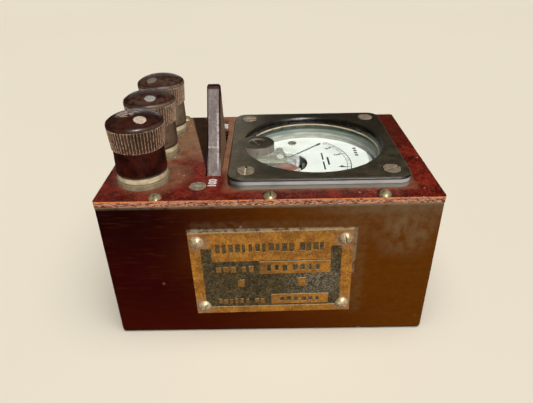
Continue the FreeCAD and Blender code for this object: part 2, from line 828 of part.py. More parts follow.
def make_dial():
    x, y = S.meter_x, S.meter_y
    face = TOP - S.dial_drop
    body = new_body("meter_dial")
    outline = new_sketch(body, "dial_outline", offset=face - S.dial_thickness)
    draw_circle(outline, S.dial_radius, x, y)
    draw_circle(outline, S.dial_hole, PIVOT_X, y)
    for j in (-1, 1):
        draw_circle(outline, 1.05, x - 6.7, y + j * 18.5)
    pad(body, outline, S.dial_thickness, "dial_disc")
    node("meter_dial_screws", [
        flat_screw("dial_screw" + str(j + 1), 1.75, 0.55, 0, 1.0, 5.0, x - 6.7, y + j * 18.5, face + 0.55,
                   20, (0.45, 0.3))
        for j in (-1, 1)
    ])


def make_magnet():
    """A U-shaped magnet lying flat, two shoes bored round the core, and the core with its two lugs."""
    x, y = S.meter_x, S.meter_y
    low, high = TOP - 18.0, TOP - S.dial_drop - S.dial_thickness
    inner, outer = S.magnet_inner, S.magnet_outer
    bend = rod("magnet_bend", outer, high - low, x + 3.0, y, low)
    bend_hole = rod("magnet_bend_hole", inner, 20.0, x + 3.0, y, low - 1.0)
    arms = block("magnet_arms", x - 15.0, x + 3.0, y - outer, y + outer, low, high)
    gap = block("magnet_gap", x - 20.0, x + 3.0, y - inner, y + inner, low - 1.0, high + 1.0)
    screws = [rod("magnet_tap" + str(j + 1), 1.05, 6.0, x - 6.7, y + j * 18.5, high - 4.5) for j in (-1, 1)]
    node("meter_magnet", cut("magnet_cut", fuse("magnet_blank", [bend, arms]), [bend_hole, gap] + screws))

    slab = block("shoe_slab", PIVOT_X - 8.0, PIVOT_X + 8.0, y - inner, y + inner, low + 1.0, high - 0.1)
    opening = rod("shoe_bore", S.shoe_bore, 20.0, PIVOT_X, y, low)
    slit = block("shoe_slit", PIVOT_X - 12.0, PIVOT_X + 12.0, y - 4.0, y + 4.0, low, high + 1.0)
    node("meter_pole_shoes", cut("shoes_cut", slab, [opening, slit]))

    core_low = TOP - 16.6
    core = rod("core_rod", S.core_radius, 9.8, PIVOT_X, y, core_low)
    lug = block("core_lugs", PIVOT_X - 8.8, PIVOT_X + 8.8, y - 1.2, y + 1.2, core_low + 3.0, core_low + 6.0)
    node("meter_core", fuse("core_whole", [core, lug]))


def make_bridges():
    """The frame that carries both jewel screws: a lower bar with two uprights, and a bridge over them.

    The upright on the pointer's side stops below the pointer, so the bridge stands on the other upright
    and on a leg on the pole shoe behind.
    """
    y = S.meter_y
    bar_low, bar_high = TOP - 20.6, TOP - 19.4
    inner, outer = 8.8, 10.4
    front, back = y - 1.8, y + 1.8
    under_bridge = TOP - 4.3
    under_pointer = TOP - 6.6
    bar = block("bridge_bar", PIVOT_X - outer, PIVOT_X + outer, front, back, bar_low, bar_high)
    tall = block("upright_tall", PIVOT_X - outer, PIVOT_X - inner, front, back, bar_high, under_bridge)
    short = block("upright_short", PIVOT_X + inner, PIVOT_X + outer, front, back, bar_high, under_pointer)
    jewel_hole = rod("lower_jewel_hole", 1.5, 8.0, PIVOT_X, y, TOP - 24.0)
    blank = fuse("bottom_bridge_blank", [bar, tall, short])
    node("meter_bottom_bridge", cut("bottom_bridge_cut", blank, [jewel_hole]))

    body = new_body("meter_top_bridge")
    outline = new_sketch(body, "top_bridge_outline", offset=under_bridge)
    draw_outline(outline, [
        (PIVOT_X - 10.4, y - 1.8), (PIVOT_X - 3.0, y - 2.6), (PIVOT_X + 1.6, y - 2.6),
        (PIVOT_X + 2.8, y - 1.2), (PIVOT_X + 2.8, y + 1.6), (PIVOT_X + 1.3, y + 8.0),
        (PIVOT_X + 1.3, y + 10.2), (PIVOT_X - 1.3, y + 10.2),
        (PIVOT_X - 1.6, y + 8.0), (PIVOT_X - 4.0, y + 3.2), (PIVOT_X - 10.4, y + 1.8),
    ])
    draw_circle(outline, 1.5, PIVOT_X, y)
    pad(body, outline, 0.9, "top_bridge_plate")
    leg = new_sketch(body, "top_bridge_leg_outline", offset=TOP - S.dial_drop - S.dial_thickness - 0.1)
    draw_rectangle(leg, PIVOT_X - 1.3, PIVOT_X + 1.3, y + 8.4, y + 10.2)
    pad(body, leg, S.dial_drop + S.dial_thickness + 0.1 - 4.3, "top_bridge_leg")

    upper = flat_screw("upper_jewel_raw", 1.45, 1.0, 0, 1.45, 2.1, PIVOT_X, y, TOP - 2.3, 25, (0.4, 0.35))
    cup = cone("upper_cup", 0.7, 0.1, 0.5, PIVOT_X, y, TOP - 4.4)
    lower = flat_screw("lower_jewel_raw", 1.45, 1.0, 0, 1.45, 2.6, PIVOT_X, y, TOP - 21.6, 70, (0.4, 0.35),
                       along="-Z")
    well = cone("lower_cup", 0.1, 0.7, 0.5, PIVOT_X, y, TOP - 19.5)
    node("meter_jewel_screws", [cut("upper_jewel", upper, [cup]), cut("lower_jewel", lower, [well])])


def turned_bar(name, start, end, half_width, z_low, z_high, turn):
    """A flat bar from one distance to another along a direction that leaves the meter's pivot."""
    thing = DOC.addObject("Part::Box", name)
    thing.Length, thing.Width = end - start, half_width * 2
    bind(thing, "Height", z_high - z_low)
    rotation = FreeCAD.Rotation(FreeCAD.Vector(0, 0, 1), turn)
    corner = rotation.multVec(FreeCAD.Vector(start, -half_width, 0))
    thing.Placement.Rotation = rotation
    return put(thing, PIVOT_X + corner.x, S.meter_y + corner.y, z_low)


def spiral_ribbon(first, last, turns, thickness, height):
    """A flat spiral of half circles whose radius grows from first to last."""
    halves = 2 * turns
    radii = [first + (last - first) * i / (halves - 1) for i in range(halves)]
    centre, inner, outer = 0.0, [], []
    for i, radius in enumerate(radii):
        side = 1 if i % 2 == 0 else -1
        for line, extra in ((inner, 0.0), (outer, thickness)):
            reach = radius + extra
            points = [FreeCAD.Vector(centre + side * reach, 0, 0), FreeCAD.Vector(centre, side * reach, 0),
                      FreeCAD.Vector(centre - side * reach, 0, 0)]
            line.append(Part.Arc(*points).toShape())
        if i + 1 < halves:
            centre += side * (radii[i + 1] - radius)
    ends = [Part.makeLine(inner[0].firstVertex(True).Point, outer[0].firstVertex(True).Point),
            Part.makeLine(inner[-1].lastVertex(True).Point, outer[-1].lastVertex(True).Point)]
    wire = Part.Wire(Part.__sortEdges__(inner + outer + ends))
    return Part.Face(wire).extrude(FreeCAD.Vector(0, 0, height))


def make_coil():
    """The moving parts of the meter: a coil on stub pivots, two hairsprings and the pointer."""
    y = S.meter_y
    turn = 134.0
    high = TOP - S.dial_drop
    low = high - S.coil_depth
    outside = turned_bar("coil_outside", -7.35, 7.35, 2.2, low, high, turn)
    inside = turned_bar("coil_inside", -6.65, 6.65, 4.0, low + 0.8, high - 0.8, turn)
    node("meter_coil", cut("coil_frame", outside, [inside]))

    pivots = []
    for name, start, along in (("upper", high, "+Z"), ("lower", low, "-Z")):
        shaft = rod(name + "_pivot_shaft", 0.5, 0.55, PIVOT_X, y, start, along)
        tip_start = start + 0.55 if along == "+Z" else start - 0.55
        tip = cone(name + "_pivot_tip", 0.5, 0.05, 0.45, PIVOT_X, y, tip_start, along)
        pivots.append(fuse(name + "_pivot", [shaft, tip]))
    node("meter_spindle", pivots)

    springs = []
    for name, z in (("upper", number(high) + 0.06), ("lower", number(low) - 0.36)):
        ribbon = spiral_ribbon(0.62, 2.6, 3, 0.12, 0.26)
        spring = DOC.addObject("Part::Feature", name + "_hairspring")
        spring.Shape = ribbon
        springs.append(put(spring, PIVOT_X, y, z))
    node("meter_hairsprings", springs)

    pointer_turn = 44.0
    sheet_low, sheet_high = TOP - 4.85, TOP - 4.6
    needle = turned_bar("pointer_needle", 0.8, 22.4, 0.14, sheet_low, sheet_high, pointer_turn)
    tail = turned_bar("pointer_tail", -5.4, -0.8, 0.3, sheet_low, sheet_high, pointer_turn)
    direction = FreeCAD.Rotation(FreeCAD.Vector(0, 0, 1), pointer_turn)
    spade = DOC.addObject("Part::Ellipse", "spade_outline")
    spade.MajorRadius, spade.MinorRadius = 1.5, 0.42
    spade_solid = DOC.addObject("Part::Extrusion", "spade")
    spade_solid.Base = spade
    spade_solid.Dir = FreeCAD.Vector(0, 0, 0.25)
    spade_solid.Solid = True
    tip = direction.multVec(FreeCAD.Vector(23.2, 0, 0))
    spade.Placement.Rotation = direction
    put(spade, PIVOT_X + tip.x, y + tip.y, sheet_low)
    hub = rod("pointer_hub", 1.1, 0.25, PIVOT_X, y, sheet_low)
    hub_hole = rod("pointer_hub_hole", 0.5, 1.0, PIVOT_X, y, TOP - 5.2)
    whole = fuse("pointer_whole", [needle, tail, hub, spade_solid])
    node("meter_pointer", cut("pointer_cut", whole, [hub_hole]))


def make_zero_adjuster():
    """A slotted screw in the boss; its eccentric pin swings a forked arm about the upper jewel screw."""
    y = S.meter_y
    face = TOP + S.flange_height
    screw = flat_screw("zero_screw_raw", 3.25, 1.3, 0, 2.3, 5.2, ZERO_X, y, face - 0.6, 118, (0.9, 0.8))
    pin = rod("zero_pin", 0.5, 1.55, ZERO_X + S.pin_throw, y, TOP - 3.35)
    node("meter_zero_screw", fuse("zero_screw_whole", [screw, pin]))

    body = new_body("meter_zero_arm")
    outline = new_sketch(body, "arm_outline", offset=TOP - 3.3)
    reach = S.zero_offset - S.pivot_offset
    tip = PIVOT_X - reach
    draw_outline(outline, [
        (tip, y - 1.5), (PIVOT_X - 2.2, y - 1.3), (PIVOT_X - 1.3, y - 2.3), (PIVOT_X + 1.3, y - 2.3),
        (PIVOT_X + 2.5, y - 0.6), (PIVOT_X + 4.4, y - 0.6),
        (PIVOT_X + 4.4, y + 0.6), (PIVOT_X + 2.5, y + 0.6),
        (PIVOT_X + 1.3, y + 2.3), (PIVOT_X - 1.3, y + 2.3), (PIVOT_X - 2.2, y + 1.3), (tip, y + 1.5),
        (tip, y + 0.6), (tip + 2.4, y + 0.6), (tip + 2.4, y - 0.6), (tip, y - 0.6),
    ])
    draw_circle(outline, 1.5, PIVOT_X, y)
    pad(body, outline, 0.5, "arm_plate")


# ---------------------------------------------------------------- lever switch


def make_lever():
    """The flat lever: a swept fin above the panel, a tapering web below it, the pivot boss and a tail."""
    body = new_body("switch_lever")
    drop = S.pivot_drop
    fin = new_sketch(body, "lever_outline", "YZ_Plane", S.lever_x)
    draw_outline(fin, [
        (-21.0, TOP), (-14.4, TOP + 8.1), (-2.0, TOP + 25.3), (-1.3, TOP + 26.3), (-0.1, TOP + 26.8),
        (1.0, TOP + 26.2), (1.5, TOP + 25.0), (3.9, TOP + 14.6), (9.2, TOP), (9.0, TOP - 3.2),
        (4.8, TOP - drop + 2.6), (-4.8, TOP - drop + 2.6), (-21.0, TOP - 3.2),
    ])
    web = pad(body, fin, S.fin_thickness, "lever_web", middle=True)

    def above_panel(edge, ends):
        high = min(p.z for p in ends) > number(TOP) - 0.01
        along = abs(ends[0].x - ends[-1].x) < TINY and len(ends) == 2
        return high and along and max(p.z for p in ends) > number(TOP) + 1

    dress(body, "Chamfer", web, edges_where(web, above_panel), S.fin_bevel, "lever_bevels")
    boss = new_sketch(body, "lever_boss_circle", "YZ_Plane", S.lever_x)
    draw_circle(boss, 5.5, 0.0, TOP - drop)
    pad(body, boss, S.lever_thickness, "lever_boss", middle=True)
    tail = new_sketch(body, "lever_tail_outline", "YZ_Plane", S.lever_x)
    lean = math.radians(12.5)
    across, down = (math.cos(lean), math.sin(lean)), (math.sin(lean), -math.cos(lean))
    arm = 13.8
    corners = [(-1.9, 3.0), (1.9, 3.0), (1.9, arm), (-1.9, arm)]
    draw_outline(tail, [
        (side * across[0] + out * down[0], TOP - drop + side * across[1] + out * down[1])
        for side, out in corners
    ])
    pad(body, tail, S.lever_thickness, "lever_tail", middle=True)
    pivot = new_sketch(body, "lever_pivot_hole", "YZ_Plane", S.lever_x + 5.0)
    draw_circle(pivot, 1.6 + S.fit, 0.0, TOP - drop)
    pocket(body, pivot, 10.0, "lever_bored")
    roller_y = S.roller_arm * down[0]
    roller_z = TOP - drop + S.roller_arm * down[1]
    pin_hole = new_sketch(body, "lever_roller_hole", "YZ_Plane", S.lever_x + 5.0)
    draw_circle(pin_hole, 0.8, roller_y, roller_z)
    pocket(body, pin_hole, 10.0, "lever_tail_bored")

    drums = []
    for name, side in (("left", -1), ("right", 1)):
        inner = S.lever_x + side * (S.lever_thickness / 2)
        start = inner if side > 0 else inner - 0.3
        drums.append(rod("roller_drum_" + name, 2.4, 0.3, start, roller_y, roller_z, "+X"))
    shaft_start = S.lever_x - S.lever_thickness / 2 - 0.3
    shaft = rod("roller_shaft", 0.78, S.lever_thickness + 0.6, shaft_start, roller_y, roller_z, "+X")
    node("switch_roller", fuse("roller_whole", drums + [shaft]))


def make_switch_frame():
    """The folded bracket under the panel with its pivot pin and the contact stack between its cheeks."""
    drop = S.pivot_drop
    sheet = S.bracket_sheet
    pivot_z = TOP - drop
    left_in, right_in = S.lever_x - 2.5, S.lever_x + 2.5
    plate = block("bracket_plate", -28.6, right_in + sheet, -S.bracket_half, S.bracket_half,
                  UNDER_PANEL - sheet, UNDER_PANEL)
    gap = block("bracket_gap", left_in, right_in, -23.0, 23.0, UNDER_PANEL - 5.0, UNDER_PANEL + 1.0)
    cheeks = []
    for name, low in (("left", left_in - sheet), ("right", right_in)):
        step = pivot_z - 6.0
        upper = block(name + "_cheek_upper", low, low + sheet, -15.0, 15.0, step, UNDER_PANEL - sheet)
        lower = block(name + "_cheek_lower", low, low + sheet, -9.0, 9.0, TOP - 49.5, step)
        cheeks += [upper, lower]
    tap_floor = UNDER_PANEL - 3.0
    taps = [
        rod("bracket_tap" + str(j + 1), 1.5, 5.0, S.switch_screw_x, j * S.switch_screw_y, tap_floor)
        for j in (-1, 1)
    ]
    pin_hole = rod("bracket_pin_hole", 1.6, 12.0, S.lever_x - 6.0, 0.0, pivot_z, "+X")
    block_z = TOP - 46.5
    ties = [
        rod("tie_hole" + str(j + 1), 1.0, 12.0, S.lever_x - 6.0, j * 2.4, block_z, "+X")
        for j in (-1, 1)
    ]
    whole = fuse("bracket_whole", [plate] + cheeks)
    node("switch_bracket", cut("bracket_cut", whole, [gap, pin_hole] + taps + ties))

    far_left, far_right = left_in - sheet, right_in + sheet
    pin = rod("pivot_rod", 1.6, far_right - far_left, far_left, 0.0, pivot_z, "+X")
    heads = [rod("pivot_head_left", 2.5, 0.8, far_left - 0.8, 0.0, pivot_z, "+X"),
             rod("pivot_head_right", 2.5, 0.8, far_right, 0.0, pivot_z, "+X")]
    node("switch_pivot_pin", fuse("pivot_pin_whole", [pin] + heads))

    stack = block("contact_stack", left_in, right_in, -9.0, 9.0, TOP - 49.5, TOP - 43.5)
    leaves = {}
    for name, side in (("front", -1), ("back", 1)):
        pair = []
        for tier, out in (("near", 5.45), ("far", 7.4)):
            inner, outer = side * out, side * (out + 0.4)
            low, high = min(inner, outer), max(inner, outer)
            top_z = TOP - 34.5 if tier == "near" else TOP - 36.5
            pair.append(block(name + "_" + tier + "_leaf", S.lever_x - 2.1, S.lever_x + 2.1, low, high,
                              TOP - 51.8, top_z))
        leaves[name] = pair
        node("switch_" + name + "_leaves", pair)
    slots = leaves["front"] + leaves["back"]
    holes = [
        rod("stack_hole" + str(j + 1), 1.0, 12.0, S.lever_x - 6.0, j * 2.4, block_z, "+X")
        for j in (-1, 1)
    ]
    node("switch_contact_block", cut("contact_stack_cut", stack, slots + holes))
    ties = []
    for j in (-1, 1):
        tie = rod("tie_rod" + str(j + 1), 0.98, far_right - far_left, far_left, j * 2.4, block_z, "+X")
        tie_head = rod("tie_head" + str(j + 1), 1.8, 0.9, far_left - 0.9, j * 2.4, block_z, "+X")
        ties.append(fuse("tie" + str(j + 1), [tie, tie_head]))
    node("switch_block_screws", ties)
    node("switch_panel_screws", [
        flat_screw("switch_panel_screw" + str(j + 1), 2.95, 0.1, 1.45, 1.48, 6.0, S.switch_screw_x,
                   j * S.switch_screw_y, TOP, 30 + 40 * j, (0.9, 0.6))
        for j in (-1, 1)
    ])


# ---------------------------------------------------------------- internal wires


def wire_tube(points, radius):
    """A round wire along straight runs joined by tangent arcs."""
    places = [FreeCAD.Vector(*point) for point in points]
    edges, last = [], places[0]
    for before, corner, after in zip(places, places[1:], places[2:]):
        into, away = corner - before, after - corner
        turn = into.getAngle(away)
        short = min(into.Length, away.Length)
        trim = 0.45 * short
        bend = trim / math.tan(turn / 2)
        into.normalize()
        away.normalize()
        start, end = corner - into * trim, corner + away * trim
        inward = away - into
        inward.normalize()
        middle = corner + inward * (bend / math.cos(turn / 2) - bend)
        edges.append(Part.LineSegment(last, start).toShape())
        edges.append(Part.Arc(start, middle, end).toShape())
        last = end
    edges.append(Part.LineSegment(last, places[-1]).toShape())
    path = Part.Wire(edges)
    profile = Part.Wire(Part.makeCircle(radius, places[0], places[1] - places[0]))
    tube = path.makePipeShell([profile], True, True)
    expected = math.pi * radius * radius * path.Length
    if not tube.isValid() or abs(tube.Volume - expected) > 0.02 * expected:
        raise RuntimeError("a wire came out wrong")
    return tube


def make_wires():
    """Four insulated wires: each terminal to its leaf or stud, and the far leaf back to the meter."""
    x, lever = number(S.terminal_x), number(S.lever_x)
    tag_x, tag_z = x + 8.2, number(UNDER_PANEL) - 4.9
    pitch = number(S.terminal_pitch)
    tail_z = number(TOP) - 51.0
    stud_x, stud_y = number(S.meter_x) + 8.0, number(S.meter_y)
    stud_z = number(TOP) - number(S.barrel_depth) - 10.0
    routes = [
        [(tag_x, -pitch, tag_z), (tag_x, -pitch, tag_z - 12), (tag_x + 4, -pitch + 4, tag_z - 26),
         (lever - 7, -11.0, tail_z + 8), (lever - 6.5, -8.6, tail_z)],
        [(tag_x, pitch, tag_z), (tag_x, pitch, tag_z - 12), (tag_x + 4, pitch - 4, tag_z - 26),
         (lever - 7, 11.0, tail_z + 8), (lever - 6.5, 8.6, tail_z)],
        [(tag_x, 0.0, tag_z), (tag_x, 0.0, tag_z - 14), (tag_x + 1.5, 1.0, tag_z - 30),
         (lever - 6.5, 2.5, tail_z + 2), (lever - 3.5, 6.3, tail_z - 0.4)],
        [(lever + 3.0, -6.3, tail_z), (lever + 9, -8.6, tail_z + 1), (lever + 20, -9.5, tail_z + 2),
         (stud_x - 12, stud_y - 11.5, stud_z + 1), (stud_x - 2.4, stud_y - 11.0, stud_z + 1)],
    ]
    wires = []
    for index, route in enumerate(routes):
        wire = DOC.addObject("Part::Feature", "wire" + str(index))
        wire.Shape = wire_tube(route, 0.55)
        wires.append(wire)
    node("internal_wires", wires)


# ---------------------------------------------------------------- build, check and write


def check_and_write():
    DOC.recompute()
    faults = []
    for thing in DOC.Objects:
        if "Invalid" in thing.State or "Error" in thing.State:
            faults.append(thing.Name + " " + str(thing.State))
    for thing in NODES:
        shape = thing.Shape
        if shape.isNull() or not shape.isValid() or not shape.Solids:
            faults.append(thing.Label + " has no valid solid")
    if faults:
        raise RuntimeError("; ".join(faults))
    os.makedirs("parts", exist_ok=True)
    for thing in NODES:
        thing.Shape.exportStep("parts/" + thing.Label + ".step")
    print(len(NODES), "sub-parts written")


make_case()
make_panel()
make_label()
make_terminals()
make_bezel()
make_window()
make_barrel()
make_dial()
make_magnet()
make_bridges()
make_coil()
make_zero_adjuster()
make_lever()
make_switch_frame()
make_wires()
check_and_write()
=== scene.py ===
"""The looks of the radio test meter unit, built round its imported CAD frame.

Lengths are in millimetres and become metres through MM. Colours are 0-255 sRGB triples.
"""

import math
import random

import bpy
from mathutils import Matrix, Vector


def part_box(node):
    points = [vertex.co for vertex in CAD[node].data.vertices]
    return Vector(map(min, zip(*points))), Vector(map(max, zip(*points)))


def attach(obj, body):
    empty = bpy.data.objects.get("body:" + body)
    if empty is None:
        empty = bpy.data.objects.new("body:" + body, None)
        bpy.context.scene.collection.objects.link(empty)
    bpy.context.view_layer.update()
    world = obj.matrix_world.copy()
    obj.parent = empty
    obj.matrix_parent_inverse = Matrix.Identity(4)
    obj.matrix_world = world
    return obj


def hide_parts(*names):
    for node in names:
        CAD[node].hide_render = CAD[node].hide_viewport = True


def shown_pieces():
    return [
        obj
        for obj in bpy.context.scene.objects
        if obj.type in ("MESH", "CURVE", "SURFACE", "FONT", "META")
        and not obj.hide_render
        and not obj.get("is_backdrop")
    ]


MM = 0.001
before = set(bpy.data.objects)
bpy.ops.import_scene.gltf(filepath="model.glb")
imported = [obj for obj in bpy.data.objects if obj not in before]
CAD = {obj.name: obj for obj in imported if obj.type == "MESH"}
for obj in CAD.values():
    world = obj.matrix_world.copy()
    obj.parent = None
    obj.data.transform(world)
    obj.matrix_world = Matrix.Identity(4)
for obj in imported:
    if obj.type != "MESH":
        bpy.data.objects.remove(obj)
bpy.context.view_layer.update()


def box_mm(node):
    low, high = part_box(node)
    return low / MM, high / MM


def middle_of(node):
    low, high = box_mm(node)
    return (low + high) / 2


PANEL_LOW, PANEL_HIGH = box_mm("top_panel")
TOP = PANEL_HIGH.z
UNDER_PANEL = PANEL_LOW.z
FRONT, BACK = PANEL_LOW.y, PANEL_HIGH.y
LEFT, RIGHT = PANEL_LOW.x, PANEL_HIGH.x
METER = middle_of("meter_barrel")
METER_HIGH = box_mm("meter_bezel")[1]
DIAL_FACE = box_mm("meter_dial")[1].z
PIVOT = middle_of("meter_core")
TERMINALS = ("front", "middle", "back")
TERMINAL_X = middle_of("front_terminal_head").x
TERMINAL_Y = {name: middle_of(name + "_terminal_head").y for name in TERMINALS}
LEVER_HIGH = box_mm("switch_lever")[1]
LABEL = middle_of("label_plate")


# -------- paint: node materials


def linear(colour):
    """The linear colour, with alpha, that a shader takes for a 0-255 sRGB triple."""
    parts = [channel / 255 for channel in colour]
    return tuple(c / 12.92 if c <= 0.04045 else ((c + 0.055) / 1.055) ** 2.4 for c in parts) + (1,)


def darker(colour, share):
    return tuple(share * channel for channel in colour)


class Paint:
    """A procedural material: its place in the object frame in millimetres, and short calls for nodes."""

    def __init__(self, name, **settings):
        self.material = bpy.data.materials.new(name)
        self.material.use_nodes = True
        self.tree = self.material.node_tree
        self.shader = self.tree.nodes["Principled BSDF"]
        for socket, value in settings.items():
            self.shader.inputs[socket.replace("_", " ")].default_value = value
        coordinates = self.node("TexCoord", {})
        self.place = self.vector("SCALE", coordinates.outputs["Object"], scale=1 / MM)
        self.x, self.y, self.z = self.split(self.place)
        self.normal_x, self.normal_y, self.normal_z = self.split(coordinates.outputs["Normal"])
        self.skin = None

    def wire(self, value, socket):
        if isinstance(value, bpy.types.NodeSocket):
            self.tree.links.new(value, socket)
        elif isinstance(value, tuple) and socket.type == "RGBA":
            socket.default_value = linear(value)
        else:
            socket.default_value = value

    def node(self, kind, inputs):
        """A new node, with its input sockets given by name or number."""
        node = self.tree.nodes.new("ShaderNode" + kind)
        for socket, value in inputs.items():
            if value is not None:
                self.wire(value, node.inputs[socket])
        return node

    def split(self, vector):
        return self.node("SeparateXYZ", {0: vector}).outputs

    def vector(self, operation, first, second=None, scale=None):
        node = self.node("VectorMath", {0: first, 1: second, 3: scale})
        node.operation = operation
        return node.outputs["Value" if operation in ("DISTANCE", "DOT_PRODUCT") else "Vector"]

    def math(self, operation, *values):
        node = self.node("Math", dict(enumerate(values)))
        node.operation = operation
        return node.outputs[0]

    def times(self, *masks):
        """Where every mask holds."""
        total = masks[0]
        for mask in masks[1:]:
            total = self.math("MULTIPLY", total, mask)
        return total

    def most(self, *masks):
        """Where any mask holds."""
        total = masks[0]
        for mask in masks[1:]:
            total = self.math("MAXIMUM", total, mask)
        return total

    def ramp(self, value, low, high, start=0, end=1):
        """start at low and end at high, smooth between them; low may be above high."""
        if low > high:
            low, high, start, end = high, low, end, start
        node = self.node("MapRange", dict(enumerate((value, low, high, start, end))))
        node.interpolation_type = "SMOOTHSTEP"
        return node.outputs[0]

    def noise(self, size, detail=4, rough=0.55, stretch=(1, 1, 1), seed=0):
        """Noise from 0 to 1, with features of about size millimetres, longer where stretch is above 1."""
        scaled = self.vector("MULTIPLY", self.place, tuple(1 / (size * s) for s in stretch))
        moved = self.vector("ADD", scaled, (seed, seed * 0.7, seed * 1.3))
        inputs = {"Vector": moved, "Scale": 1, "Detail": detail, "Roughness": rough}
        return self.node("TexNoise", inputs).outputs[0]

    def specks(self, size, share, seed=0):
        """A mask of small round specks, one in roughly that share of cells of size millimetres."""
        scaled = self.vector("SCALE", self.place, scale=1 / size)
        moved = self.vector("ADD", scaled, (seed, seed, seed))
        node = self.node("TexVoronoi", {"Vector": moved, "Scale": 1})
        chosen = self.ramp(self.split(node.outputs["Color"])[0], 1 - share, 1 - share + 0.02)
        return self.times(chosen, self.ramp(node.outputs["Distance"], 0.22, 0.12))

    def mix(self, factor, first, second):
        """The first colour where the mask is 0 and the second where it is 1."""
        node = self.node("Mix", {0: factor, 6: first, 7: second})
        node.data_type = "RGBA"
        return node.outputs[2]

    def over(self, base, colour, *masks):
        """The base with a colour laid over it where every mask holds."""
        return self.mix(self.times(*masks), base, colour)

    def coat(self, colour, *masks):
        """Lays a colour over all that is painted so far, where every mask holds."""
        self.skin = self.over(self.skin, colour, *masks)

    def blotch(self, low, high, *noise, **more):
        """Noise made sharper: 0 where it is below low, 1 where it is above high."""
        return self.ramp(self.noise(*noise, **more), low, high)

    def from_axis(self, x, y):
        """The distance from an upright line."""
        return self.vector("DISTANCE", self.vector("MULTIPLY", self.place, (1, 1, 0)), (x, y, 0))

    def around(self, centre, near, far, axes=(1, 1, 0)):
        """1 inside near of a centre, 0 beyond far, measured along the axes that are 1."""
        flat = self.vector("MULTIPLY", self.place, axes)
        point = tuple(c * keep for c, keep in zip(centre, axes))
        return self.ramp(self.vector("DISTANCE", flat, point), far, near)

    def band(self, value, low, high, soft):
        """1 between low and high, falling to 0 over soft outside them."""
        return self.times(self.ramp(value, low - soft, low), self.ramp(value, high + soft, high))

    def edges(self, radius):
        """1 on corners, 0 on open faces, over about radius millimetres."""
        bevel = self.node("Bevel", {"Radius": radius * MM})
        bevel.samples = 4
        true = self.node("NewGeometry", {})
        alike = self.vector("DOT_PRODUCT", bevel.outputs[0], true.outputs["Normal"])
        return self.ramp(alike, 0.99, 0.9)

    def colour(self, value):
        self.wire(value, self.shader.inputs["Base Color"])

    def rough(self, value):
        self.wire(value, self.shader.inputs["Roughness"])

    def bump(self, height, depth):
        """Adds relief: height runs from 0 to 1 over depth millimetres. Calls add up."""
        node = self.node("Bump", {"Strength": 1, "Distance": depth * MM, "Height": height})
        normal = self.shader.inputs["Normal"]
        if normal.is_linked:
            self.tree.links.new(normal.links[0].from_socket, node.inputs["Normal"])
        self.tree.links.new(node.outputs[0], normal)

    def relief(self, depth, *noise, **more):
        """Adds relief made of noise."""
        self.bump(self.noise(*noise, **more), depth)


